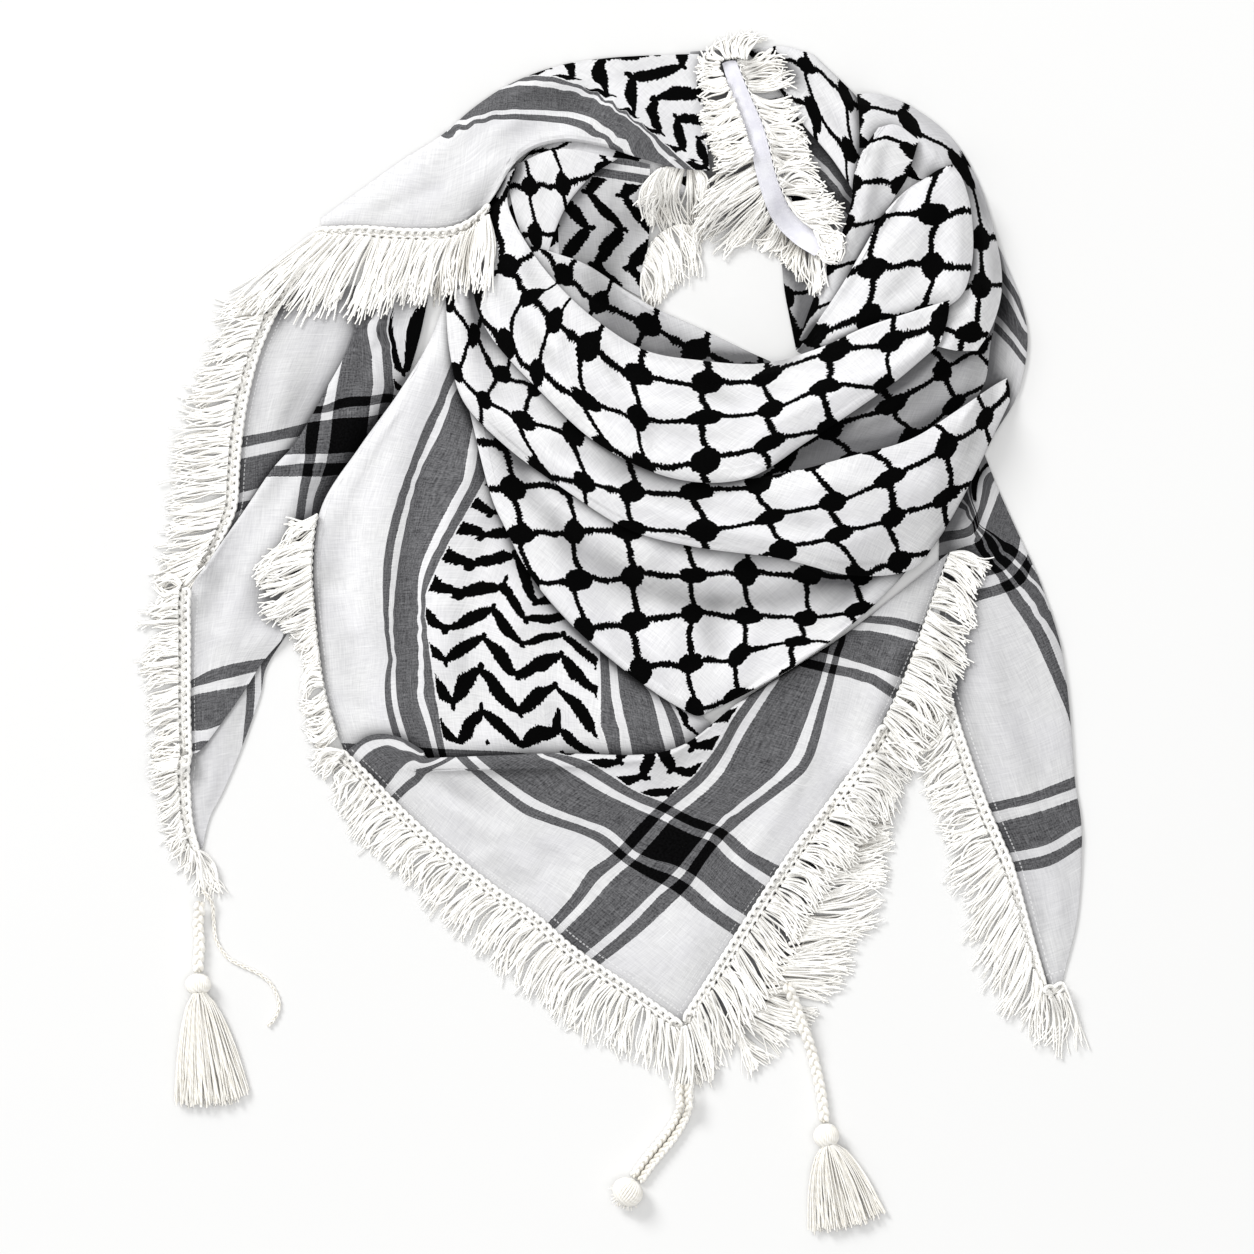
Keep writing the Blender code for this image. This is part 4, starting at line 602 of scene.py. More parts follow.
        tips=(70,284, 60,261, 58,238, 77,229, 97,228, 110,223, 122,212, 138,194, 153,197)),
    dict(name="hem_tape", wall=TAPE_WALL, sections=(
        (1,1,1, 77,357, 82,359, 87,359),
        (1,1,1, 84,333, 90,335, 96,336),
        (1,1,1, 95,305, 101,307, 107,309),
        (1,1,1, 102,274, 109,275, 115,277),
        (1,1,1, 112,246, 118,250, 125,253),
        (1,1,1, 127,229, 134,233, 140,238),
        (1,1,1, 143,218, 148,222, 152,227)),
        a=((14, 77,357, 95,305, 112,246, 143,218), (34, 87,359, 107,309, 125,253, 152,227)),
        b=((250, 77,357, 87,359), (180, 102,274, 115,277), (140, 143,218, 152,227))),
    dict(name="fringe_tape_right", of="hem_tape", side="right", turns=(0, 22), edging=0.0, fullness=1.3,
        droop=4.0, wild=1.5, span=(0, 6),
        tips=(117,374, 127,338, 137,310, 142,279, 159,256, 163,236, 163,217)),
    dict(name="fringe_tape_left", sewn_to="hem_tape", edging=0.0, fullness=1.4, droop=2.0, wild=1.5, back=2.0,
        hem=(94,359, 90,361, 83,361, 77,360, 75,354, 81,340, 88,323, 94,305, 99,289),
        tips=(113,375, 102,378, 85,379, 70,373, 60,360, 62,337, 63,315, 67,298, 77,281)),
)

# A plait's sizes are shares of its cord's thickness; beside: where each row of plait lies off the middle.
PLAITS = dict(
    braid=dict(drop=0.10, swing=0.26, rise=0.16, yarn=0.235, pitch=2.3, beside=(0.0,)),
    doubled=dict(drop=0.24, swing=0.15, rise=0.10, yarn=0.14, pitch=1.4, beside=(-0.28, 0.28)),
    strand=dict(drop=0.10, swing=0.28, rise=0.20, yarn=0.20, pitch=4.7, beside=(0.0,)))
# Free cords, by the places they run through from the hem to their far end.
CORDS = (
    dict(name="braid_left", plait="braid", thick=8.8, step=1.0, far_end="knot", route=(
        -299,-245.4, -299,-253, -300,-263, -299,-277, -300,-289, -300,-297)),
    dict(name="loose_strand", plait="strand", thick=3.2, step=1.5, far_end="bare", route=(
        -297.5,-237.6, -293,-241.5, -289.5,-249, -289,-259, -287,-274, -279,-286, -269,-292, -258,-297,
        -248,-305, -242,-318, -244,-328, -250,-336)),
    dict(name="cord_front", plait="doubled", thick=11.0, step=1.0, far_end="knot", route=(
        50,-376.9, 49.5,-385, 50,-393, 46,-404, 39,-415, 30,-426, 22,-436, 15,-446)),
    dict(name="braid_right", plait="braid", thick=8.6, step=1.0, far_end="knot", route=(
        123,-304, 129,-318, 135,-335, 140,-349, 144,-364, 148,-382, 150,-396, 151,-405)),
)
KNOTS = (
    dict(name="knot_left", on="braid_left", width=19, length=16, cut_ends=0),
    dict(name="knob_front", on="cord_front", width=23, length=20, cut_ends=26),
    dict(name="knot_right", on="braid_right", width=19, length=18, cut_ends=0),
)
TASSELS = (
    dict(name="tassel_left", on="knot_left", tips=(-290, -392), head_width=11, tip_width=60, thick=13),
    dict(name="tassel_right", on="knot_right", tips=(168, -480), head_width=12, tip_width=60, thick=13),
)
PLAIT_STRANDS = 3
PLAIT_SIDES = 7
PLAIT_TAPER = 0.25  # a strand's ends taper to this share
GROOVE = (0.12, 0.26)  # painted groove shade: a plait is darkest within this share of its thickness, and how far that fades
CORD_CLEAR = (0.02, 0.3)  # air under a cord on the table, and on cloth
TOUCH = 0.01  # a height below this is the table
CORD_ROUNDS = 45  # how softly a cord bridges what is under it
KNOT_HEIGHT = 0.8  # a knot's height over its smaller plan size
KNOT_YARNS = (30, 1.25)  # how many yarns wind over a knot, and their radius
KNOT_STATIONS = 22
KNOT_SIDES = 6
KNOT_LIFT = 0.1  # air under a knot and a skirt
KNOT_POLE = 0.03  # how near its ends the yarns start, in half turns
KNOT_GROOVE = (0.82, 0.2)  # painted groove shade as for a plait, in shares of the knot's own radius
END_GAP = 0.3  # cord and knot meet end to end
CUT_ENDS = dict(fan=0.6, least=3.0, most=6.5, inside=3.5, spread=2.0, sag=2.0, gather=0.5, radius=0.4,
                stations=5)
SKIRT_YARNS = 170
SKIRT_RADIUS = 0.55
SKIRT_START = 2.0  # a skirt starts this far inside its knot
SKIRT_FLARE = 0.62  # below 1 a skirt widens fastest at its head
SKIRT_LENGTHS = (0.98, 0.025, 0.85, 1.03)
SKIRT_ROUND = 0.05  # its outer yarns are this share shorter
SKIRT_BENDS = (1.3, 1.2)  # how far its yarns bow, and how far their tips stray
SKIRT_THIN = 0.45  # share of its thickness that it loses by its tips
SKIRT_SPREAD = 0.9  # share of its thickness that its yarns fill
SKIRT_TONES = (0.8, 1.0)  # darkest and palest yarn
LEAST_HEIGHT = 0.6  # a loose yarn's middle is never lower

# Creases, as listed: half width and height (a trough is below 0), then the places it runs through.
CREASES = dict(
    bib_front=(
        (9,2.2, -189,-138, -140,-166, -83,-196, -40,-209), (7,-1.6, -133,-155, -68,-198, -22,-230),
        (12,2.4, -11,-151, 32,-194, 54,-245, 50,-306), (8,-1.4, 18,-173, 54,-223, 61,-266),
        (9,1.8, 148,-101, 126,-166, 90,-223, 61,-281), (8,-1.5, 169,-94, 151,-151, 126,-194),
        (10,2.0, 209,-29, 191,-94, 169,-137), (6,1.2, -40,-263, -4,-248, 18,-256),
        (7,1.4, -104,-216, -76,-209, -50,-223), (6,-1.0, -83,-230, -54,-234, -25,-263)),
    bib_side=(
        (13,3.2, -126,166, -155,94, -175,29, -182,-36, -171,-101),
        (9,-2.6, -117,151, -135,86, -148,29, -153,-36, -148,-101, -126,-133),
        (12,2.6, -99,101, -119,36, -127,-29, -122,-94), (8,-1.8, -205,0, -194,-58, -182,-115),
        (8,-2.0, -83,43, -104,-22, -104,-86, -90,-130), (11,2.2, -61,0, -74,-58, -68,-119),
        (8,-1.6, -40,-43, -45,-94, -32,-133), (8,1.6, -11,-72, -11,-108, 7,-133),
        (6,1.3, -214,-22, -198,-29, -184,-58), (6,-1.2, -202,-94, -176,-109, -140,-117)),
    left_tail_near=(
        (12,3.0, -158,187, -184,115, -220,58, -263,-7, -283,-65),
        (7,-2.4, -169,166, -194,115, -205,72, -234,22), (8,-1.8, -227,72, -259,22, -288,-29, -295,-86),
        (7,1.6, -205,43, -234,-14, -254,-58), (6,1.2, -299,-43, -281,-58, -270,-94)),
    left_tail_far=(
        (9,1.8, -227,187, -238,130, -254,72), (7,-1.4, -202,187, -218,130, -241,86)),
    left_tail_turn=(
        (7,1.2, -263,-86, -283,-130, -295,-180), (5,-0.8, -254,-79, -270,-122)),
    right_tail=(
        (9,2.4, 259,65, 270,14, 299,-29, 317,-86, 322,-144), (6,-1.8, 253,52, 263,22, 279,-9, 295,-36),
        (10,1.8, 248,-43, 270,-101, 288,-158, 310,-230), (7,-1.5, 277,-58, 292,-115, 313,-173),
        (6,1.2, 292,-173, 313,-209, 322,-266), (6,-1.0, 281,-173, 299,-223, 312,-281)),
    right_shoulder_under=(
        (6,-1.0, 270,223, 277,166, 266,101),),
    shoulder_wrap=(
        (9,-3.0, 54,302, 18,311, -32,328, -68,331, -115,295),
        (9,2.6, 61,324, 18,335, -25,347, -68,338, -126,295, -169,259),
        (7,-2.2, 53,284, 18,295, -18,310, -61,311, -97,288),
        (8,2.2, 25,288, -11,302, -47,306, -83,288, -112,256), (6,-1.4, -119,274, -148,259, -176,248)),
    roll_upper=(
        (8,-3.4, -68,248, -50,194, -11,155, 47,126, 104,124, 169,138),
        (7,2.4, -79,234, -61,176, -18,133, 40,109, 104,107, 162,126),
        (7,-2.8, -90,209, -61,155, -18,115, 47,86, 97,85), (6,-2.2, -11,155, 18,108, 32,72),
        (7,2.0, 112,135, 169,130, 202,135, 230,158), (5,-2.0, 119,144, 169,143, 209,155),
        (6,1.8, -40,166, -40,133, -22,101), (5,-1.6, 61,133, 86,115, 133,109)),
    roll_lower=(
        (9,-3.0, -104,180, -83,130, -32,79, 25,50, 90,29, 169,25, 227,50),
        (8,2.6, -108,158, -83,101, -25,61, 47,32, 119,14, 191,9), (7,-2.2, 176,65, 220,65, 266,94),
        (7,2.2, 133,54, 191,58, 241,86, 277,119), (6,-1.8, 90,50, 126,29, 169,0),
        (6,-2.0, -50,86, -32,76, 18,58)),
    net_apron=(
        (11,3.0, -68,86, -47,22, -18,-36, 25,-94), (8,-2.4, -50,43, -25,-14, 11,-65, 50,-101),
        (12,3.4, 18,29, 29,-29, 47,-79), (9,-3.4, 72,-22, 70,-58, 79,-79), (9,2.4, 104,-29, 94,-65, 76,-94),
        (8,2.8, 72,9, 126,0, 169,-11), (6,-2.6, 76,0, 126,-10, 162,-19), (9,-2.2, 191,29, 176,-14, 133,-58),
        (7,2.0, 209,29, 191,-14, 155,-50)),
    collar=(
        (6,-1.8, -50,215, -22,194, 18,169, 61,150), (5,1.4, -40,198, -4,169, 47,140)),
    petal=(
        (9,3.2, 169,187, 198,230, 227,266), (7,-2.6, 191,180, 223,216, 238,259),
        (6,-2.0, 162,180, 185,220, 205,252), (6,1.8, 230,187, 247,223)),
    shoulder=(
        (8,-2.8, 184,313, 227,284, 250,238, 256,187), (7,2.4, 202,317, 241,277, 264,230, 266,187),
        (6,-1.8, 240,259, 252,209, 245,166)),
    inner_right=(
        (6,-2.2, 198,302, 185,259, 162,209), (5,1.6, 191,288, 175,245, 151,194)),
    neck_back_net=(
        (7,-2.2, 104,360, 140,338, 169,302), (6,2.0, 126,364, 162,335, 178,295)),
    recess_fold=(
        (7,-2.0, 263,187, 241,137, 191,94, 133,72), (6,1.8, 248,166, 216,122, 169,94)),
    inner_leaf=(
        (5,-1.2, -25,281, -22,245, -25,215), (5,1.0, -4,281, -7,241, -12,205)),
    inner_net=(
        (5,-1.6, -40,288, -50,259, -54,227),),
    bib_under=(
        (9,1.0, 61,-158, 104,-230, 86,-302),),
    neck_back=(
        (6,-1.2, 72,353, 83,302, 104,259),),
    hem_tape=(
        (3,0.7, 83,353, 99,310, 115,266, 137,230), (4,0.8, 86,335, 97,337), (4,-0.5, 94,302, 110,307),
        (4,0.7, 108,266, 126,272)),
)


# ---- curves, meshes and smooth surfaces ----

TINY = 1e-9  # keeps what is divided by off zero
CURVE_READS = 24  # places read on a curve for each point it has
PLATE_UNIT = 100.0  # mm: smooth surfaces are solved in this unit
PLATE_SLACK = 2e-4  # how far they may miss the places they are given
PLATE_FLOOR = 1e-12  # the same for what a logarithm is taken of


def spline(points, at):
    """A smooth curve through rows of numbers, read at positions counted in rows."""
    points = np.asarray(points, float)
    at = np.atleast_1d(np.asarray(at, float))
    padded = np.concatenate([2 * points[:1] - points[1:2], points, 2 * points[-1:] - points[-2:-1]])
    start = np.clip(np.floor(at).astype(int), 0, len(points) - 2)
    t = (at - start).reshape((-1,) + (1,) * (points.ndim - 1))
    p0, p1, p2, p3 = (padded[start + k] for k in range(4))
    bend = 2 * p0 - 5 * p1 + 4 * p2 - p3
    return 0.5 * (2 * p1 + (p2 - p0) * t + bend * t ** 2 + (3 * p1 - p0 - 3 * p2 + p3) * t ** 3)


def filled(points, times):
    """Rows of numbers filled in along a smooth curve, to so many times as many rows."""
    return spline(points, np.linspace(0, len(points) - 1, times * len(points)))


def run_along(line):
    """How far along a line each of its points is."""
    return np.concatenate([[0], np.cumsum(np.linalg.norm(np.diff(line, axis=0), axis=1))])


def read_line(line, run, where):
    """Places on a line, by how far along it they are."""
    return np.stack([np.interp(where, run, part) for part in line.T], axis=1)


def pairs(numbers):
    """Numbers taken two by two: x and y of each place."""
    return np.asarray(numbers, float).reshape(-1, 2)


def even_curve(numbers, step):
    """Places about one step apart, on a smooth curve through x, y, x, y."""
    points = pairs(numbers)
    if len(points) == 1:
        return points
    fine = filled(points, CURVE_READS)
    run = run_along(fine)
    return read_line(fine, run, np.linspace(0, run[-1], max(2, round(run[-1] / step) + 1)))


def unit(vectors):
    length = np.linalg.norm(vectors, axis=-1, keepdims=True)
    return vectors / np.maximum(length, TINY)


def distance_to(places, line):
    """Distance of places to a line, and how far along it each is nearest, 0 to 1."""
    starts, way = line[:-1], np.diff(line, axis=0)
    run = np.linalg.norm(way, axis=1)
    before = run_along(line)
    nearest = np.full(len(places), np.inf)
    share = np.zeros(len(places))
    for k in range(len(starts)):
        t = np.clip(((places - starts[k]) @ way[k]) / max(run[k] ** 2, TINY), 0, 1)
        gap = np.linalg.norm(places - starts[k] - t[:, None] * way[k], axis=1)
        closer = gap < nearest
        nearest[closer] = gap[closer]
        share[closer] = (before[k] + t[closer] * run[k]) / before[-1]
    return nearest, share


def thin_plate(known, values, places):
    """The smoothest surface through known values, read at other places."""
    known, places = known / PLATE_UNIT, places / PLATE_UNIT

    def bow(start, end):
        square = ((start[:, None] - end[None]) ** 2).sum(axis=2)
        return 0.5 * square * np.log(square + PLATE_FLOOR)

    count = len(known)
    plane = np.column_stack([np.ones(count), known])
    system = np.zeros((count + 3, count + 3))
    system[:count, :count] = bow(known, known) + np.eye(count) * PLATE_SLACK
    system[:count, count:] = plane
    system[count:, :count] = plane.T
    weights = np.linalg.solve(system, np.concatenate([values, np.zeros(3)]))
    flat = np.column_stack([np.ones(len(places)), places]) @ weights[count:]
    return bow(places, known) @ weights[:count] + flat


def add_piece(kind, name, corners, faces, finish, slot):
    """A smooth piece from corners in mm and four-cornered faces, in place of the solid of that name."""
    mesh = bpy.data.meshes.new(f"{kind}_{name}")
    mesh.vertices.add(len(corners))
    mesh.vertices.foreach_set("co", (np.asarray(corners) * MM).astype(np.float32).ravel())
    mesh.loops.add(faces.size)
    mesh.loops.foreach_set("vertex_index", faces.astype(np.int32).ravel())
    mesh.polygons.add(len(faces))
    mesh.polygons.foreach_set("loop_start", np.arange(0, faces.size, faces.shape[1], dtype=np.int32))
    mesh.update(calc_edges=True)
    mesh.validate()
    mesh.shade_smooth()
    mesh.materials.append(finish)
    piece = bpy.data.objects.new(mesh.name, mesh)
    bpy.context.scene.collection.objects.link(piece)
    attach(piece, BODY)
    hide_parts(name)
    return piece


def note_points(piece, name, values):
    """Keeps one number, or three, for every corner of a piece, for its material to read."""
    kind, key = ("FLOAT_VECTOR", "vector") if np.ndim(values) == 2 else ("FLOAT", "value")
    layer = piece.data.attributes.new(name, kind, "POINT")
    layer.data.foreach_set(key, np.asarray(values, np.float32).ravel())


def grid_faces(rows, columns):
    index = np.arange(rows * columns).reshape(rows, columns)
    return np.stack([index[:-1, :-1], index[:-1, 1:], index[1:, 1:], index[1:, :-1]], axis=-1).reshape(-1, 4)


def tubes(centres, radii, sides):
    """Corners and faces of round yarns along many centre lines.  radii fit centres' first two sizes."""
    lines, stations = centres.shape[:2]
    way = unit(np.gradient(centres, axis=1))
    up = np.zeros_like(way)
    up[..., 2] = 1.0
    across = unit(np.cross(way, up))
    rise = np.cross(across, way)
    turns = np.arange(sides) * 2 * math.pi / sides
    ring = across[:, :, None] * np.cos(turns)[:, None] + rise[:, :, None] * np.sin(turns)[:, None]
    radii = np.broadcast_to(radii, (lines, stations))
    corners = centres[:, :, None] + ring * radii[:, :, None, None]
    start = np.arange(lines)[:, None, None] * stations * sides
    along = np.arange(stations - 1)[None, :, None] * sides
    side = np.arange(sides)[None, None, :]
    here, there = start + along + side, start + along + (side + 1) % sides
    faces = np.stack([here, there, there + sides, here + sides], axis=-1).reshape(-1, 4)
    return corners.reshape(-1, 3), faces


def join(shapes):
    """Corners and faces of several shapes as one."""
    starts = np.cumsum([0] + [len(corners) for corners, faces in shapes])
    faces = [quads + start for (corners, quads), start in zip(shapes, starts)]
    return np.concatenate([corners for corners, quads in shapes]), np.concatenate(faces)


# ---- the pile: what each new layer comes down on ----

class Pile:
    """Height of everything laid so far, on a fine grid over the table."""
    low = np.array((-370.0, -520.0))
    high = np.array((370.0, 400.0))
    cell = 1.5
    fill = 3  # a grid laid on it is first filled in to so many times its rows

    def __init__(self):
        size = np.ceil((self.high - self.low) / self.cell).astype(int) + 1
        self.height = np.zeros(tuple(size))

    def cells(self, plan):
        at = np.rint((np.asarray(plan)[..., :2] - self.low) / self.cell).astype(int)
        return tuple(np.clip(at[..., k], 1, self.height.shape[k] - 2) for k in (0, 1))

    def read(self, plan):
        """The highest thing under each place or one cell beside it."""
        x, y = self.cells(plan)
        near = [self.height[x + i, y + j] for i in (-1, 0, 1) for j in (-1, 0, 1)]
        return np.max(near, axis=0)

    def lay(self, places):
        """Raises the pile to the heights of places."""
        np.maximum.at(self.height, self.cells(places), places[..., 2])

    def lay_grid(self, grid):
        """The same for a grid of places, filled in to one a millimetre or so."""
        rows = filled(grid, self.fill).transpose(1, 0, 2)
        self.lay(filled(rows, self.fill))


def drape(floor):
    """The lowest soft surface that clears a floor: it bridges hollows and slopes off edges."""
    height = floor.copy()
    for _ in range(EASE_ROUNDS):
        padded = np.pad(height, 1, mode="edge")
        around = padded[:-2, 1:-1] + padded[2:, 1:-1] + padded[1:-1, :-2] + padded[1:-1, 2:]
        height = np.maximum(floor, KEPT * height + (1 - KEPT) / 4 * around)
    return height


def settle(height, floor, rounds):
    """Heights along yarns, eased towards their neighbours and kept over a floor."""
    for _ in range(rounds):
        around = np.pad(height, ((0, 0), (1, 1)), mode="edge")
        height = np.maximum(floor, KEPT * height + (1 - KEPT) / 2 * (around[:, :-2] + around[:, 2:]))
    return height


def softened(height, reach):
    """A height map blurred over a reach, in cells."""
    size = math.ceil(BLUR_REACH * reach)
    kernel = np.exp(-0.5 * (np.arange(-size, size + 1) / reach) ** 2)
    kernel = kernel / kernel.sum()
    wide = np.pad(height, size, mode="edge")
    wide = np.apply_along_axis(np.convolve, 0, wide, kernel, "valid")
    return np.apply_along_axis(np.convolve, 1, wide, kernel, "valid")


# ---- cloth ----

def positions(lengths, first_fold, last_fold):
    """Positions along a table, about one cloth step apart and closer round a folded edge."""
    at = [0.0]
    for index, length in enumerate(lengths):
        parts = max(1, round(length / CLOTH_STEP))
        at += [index + (k + 1) / parts for k in range(parts)]
    reach = FOLD_SPREAD * np.array(FOLD_TURNS)
    turns = [share * first_fold / max(lengths[0], 1) for share in reach if first_fold]
    turns += [at[-1] - share * last_fold / max(lengths[-1], 1) for share in reach if last_fold]
    return np.unique(np.round(np.array(at + turns), 4))


def fold_round(distance, radius):
    """Part height at a folded edge, rising as a quarter circle to 1 where the fold ends."""
    if not radius:
        return np.ones_like(distance)
    inward = np.clip(distance / (FOLD_SPREAD * radius), 0.0, 1.0)
    return FOLD_EDGE + (1 - FOLD_EDGE) * np.sqrt(np.maximum(1.0 - (1.0 - inward) ** 2, 0.0))


def tucked(grid, folds):
    """The underside's plan: its folded edges are drawn in, so that each fold overhangs a little."""
    for first, last in (folds[:2], folds[2:]):
        moved = grid.copy()
        for k, line in enumerate(grid):
            run = run_along(line)
            room = TUCK_ROOM * run[-1]
            start, end = min(FOLD_TUCK * first, room), min(FOLD_TUCK * last, room)
            inward = run + start * np.clip(1 - run / (TUCK_FADE * first + 1), 0, 1)
            inward = inward - end * np.clip(1 - (run[-1] - run) / (TUCK_FADE * last + 1), 0, 1)
            moved[k] = read_line(line, run, inward)
        grid = moved.transpose(1, 0, 2)
    return grid


def edge_distances(grid):
    """Distance of each grid point to the start, end, first and last edges."""
    from_start = np.array([run_along(row) for row in grid])
    from_first = np.array([run_along(column) for column in grid.transpose(1, 0, 2)]).T
    return from_start, from_start[:, -1:] - from_start, from_first, from_first[-1:] - from_first


def creased(name, grid):
    """Height that the creases add: soft ridges and troughs, uneven and fading at their ends."""
    places = grid.reshape(-1, 2)
    total = np.zeros(len(places))
    change, often = CREASE_SWELL
    steepness, least = CREASE_ENDS
    for width, height, *line in CREASES.get(name, ()):
        gap, share = distance_to(places, even_curve(line, 3 * width))
        swell = 1 - change + change * np.sin(often * share + width)
        ends = np.minimum(1.0, np.minimum(share, 1 - share) * steepness + least)
        total += height * swell * np.sin(0.5 * math.pi * ends) * np.exp(-(gap / width) ** 2)
    wander = np.zeros(len(places))
    for (height, length, sway, sway_length), along, aside in zip(WANDER, places.T, places.T[::-1]):
        wander += height * np.sin(along / length + sway * np.sin(aside / sway_length))
    return (CREASE_DEPTH * total + wander).reshape(grid.shape[:2])


def woven_places(stretch, grid, rows, columns):
    """Thread coordinates (a, b) of every point of a stretch."""
    places = grid.reshape(-1, 2)
    if "a" in stretch:
        found = []
        for lines in (stretch["a"], stretch["b"]):
            known = [(even_curve(line, LINE_STEP), value) for value, *line in lines]
            spots = np.concatenate([line for line, value in known])
            values = np.concatenate([np.full(len(line), float(value)) for line, value in known])
            found.append(thin_plate(spots, values, places))
        return np.stack(found, axis=1).reshape(grid.shape)
    if "net" in stretch:
        knots = [(first + k, q, place) for q, first, *row in stretch["net"]
                 for k, place in enumerate(pairs(row))]
        spots = np.array([place for p, q, place in knots])
        p, q = (thin_plate(spots, np.array([knot[k] for knot in knots], float), places) for k in (0, 1))
        p, q = (value.reshape(grid.shape[:2]) for value in (p, q))
    else:
        lattice = spline(stretch["lattice"], rows)
        share = columns / columns[-1]
        p, q = (lattice[:, k:k + 1] * (1 - share) + lattice[:, k + 2:k + 3] * share for k in (0, 1))
    p, q = p * NET_PITCH[0], q * NET_PITCH[1]
    return np.dstack([NET_ORIGIN + (q + p) / math.sqrt(2), NET_ORIGIN + (q - p) / math.sqrt(2)])


def closed_wall(top, bottom):
    """Corners and faces of a thin wall between two grids of one size, closed round its rim."""
    count = top.shape[0] * top.shape[1]
    faces = grid_faces(*top.shape[:2])
    a, b, c = (top.reshape(-1, 3)[k] for k in faces[len(faces) // 2][:3])
    index = np.arange(count).reshape(top.shape[:2])
    rim = np.concatenate([index[0, :-1], index[:-1, -1], index[-1, :0:-1], index[:0:-1, 0]])
    ahead = np.roll(rim, -1)
    sides = np.stack([rim, ahead, ahead + count, rim + count], axis=-1)
    if np.cross(b - a, c - a)[2] < 0:
        faces = faces[:, ::-1]
    else:
        sides = sides[:, ::-1]
    corners = np.concatenate([top.reshape(-1, 3), bottom.reshape(-1, 3)])
    return corners, np.concatenate([faces, faces[:, ::-1] + count, sides])


def lay_cloth(stretch, pile, made, finish):
    """One stretch of cloth, laid on the pile as a thin closed wall."""
    name, folds = stretch["name"], stretch.get("folds", (0, 0, 0, 0))
    stations = np.array([pairs(row[3:]) for row in stretch["sections"]])
    heights = np.array([row[:3] for row in stretch["sections"]], float)
    widest = np.linalg.norm(np.diff(stations, axis=1), axis=2).max(axis=0)
    longest = np.linalg.norm(np.diff(stations, axis=0), axis=2).max(axis=1)
    rows = positions(longest, folds[2], folds[3])
    columns = positions(widest, folds[0], folds[1])
    grid = spline(spline(stations, rows).transpose(1, 0, 2), columns).transpose(1, 0, 2)
    lift = np.maximum(spline(spline(heights, rows).T, columns / columns[-1] * 2).T, 0.0)
    edges = tuple(zip(edge_distances(grid), folds))
    rounding = np.prod([fold_round(distance, radius) for distance, radius in edges], axis=0)
    reach, least = EDGE_CALM
    calm = np.min([np.clip(d / reach, 1 if radius else least, 1) for d, radius in edges], axis=0)
    rest = drape(pile.read(grid)) + LAYER_GAP
    under = rest + np.maximum(lift + creased(name, grid) * calm, 0.0) * rounding
    top = np.dstack([grid, under + stretch.get("wall", CLOTH_WALL)])
    pile.lay_grid(top)

    steepness, start = FOLD_LIP
    folded = [d / (FOLD_SPREAD * radius) for d, radius in edges if radius]
    near = np.min([np.full(under.shape, 2.0)] + folded, axis=0)
    hold = np.clip(near * steepness - start, 0.0, 1.0)
    bottom = np.dstack([tucked(grid, folds), under * hold + rest * (1 - hold)])
    piece = add_piece("cloth", name, *closed_wall(top, bottom), finish, "striped_cotton")
    piece.data.set_sharp_from_angle(angle=math.radians(SHARP_EDGE))
    made[name] = dict(piece=piece, grid=grid, rows=rows, columns=columns, top=top,
                      threads=woven_places(stretch, grid, rows, columns),
                      dull=stretch.get("dull", 0.0), contact=stretch.get("contact", 1.0))


# ---- fringe ----

def varied(shuffle, spread, size):
    """Random sizes round a middle, between two limits."""
    middle, deviation, least, most = spread
    return np.clip(shuffle.normal(middle, deviation, size), least, most)


def hem_and_tips(fringe, made):
    """A fringe's hem line and tip line, as many places each, about a millimetre apart along the hem."""
    tips = pairs(fringe["tips"])
    last = len(tips) - 1
    if "of" in fringe:
        cloth = made[fringe["of"]]
        line, place = dict(left=((slice(None), 0), "rows"), right=((slice(None), -1), "rows"),
                           first=(0, "columns"), last=(-1, "columns"))[fringe["side"]]
        at = np.linspace(*fringe["span"], HEM_READS)
        hem = read_line(cloth["grid"][line], cloth[place], at)
        tips = spline(tips, (at - at[0]) / (at[-1] - at[0]) * last)
    else:
        at = np.linspace(0, last, HEM_READS)
        hem, tips = spline(pairs(fringe["hem"]), at), spline(tips, at)
    run = run_along(hem)
    even = np.linspace(0, run[-1], max(8, round(run[-1])))
    return read_line(hem, run, even), read_line(tips, run, even)


def heading(hem, away, pile, loops):
    """The crocheted edging: two rows of little loops round a core yarn, or only a seam yarn."""
    run = run_along(hem)
    at = np.linspace(0, run[-1], max(12, round(run[-1] / HEADING_STEP)))
    line = read_line(hem, run, at)
    out = unit(read_line(away, run, at))
    way = unit(np.gradient(line, axis=0))
    centres, radii = [], []
    for offset, swing, along, wave, start, radius, rise in loops:
        turn = 2 * math.pi * at / wave + start
        place = line + out * (SEAM_GAP + offset + swing * np.cos(turn))[:, None]
        place = place - way * (along * np.sin(turn))[:, None]
        level = pile.read(place) + radius + LOOP_CLEAR + rise + LOOP_HUMP * np.sin(turn)
        centres.append(np.column_stack([place, level]))
        radii.append(np.full(len(at), radius))
    centres = np.array(centres)
    centres[..., 2] = settle(centres[..., 2], centres[..., 2], LOOP_ROUNDS)
    return centres, np.array(radii)


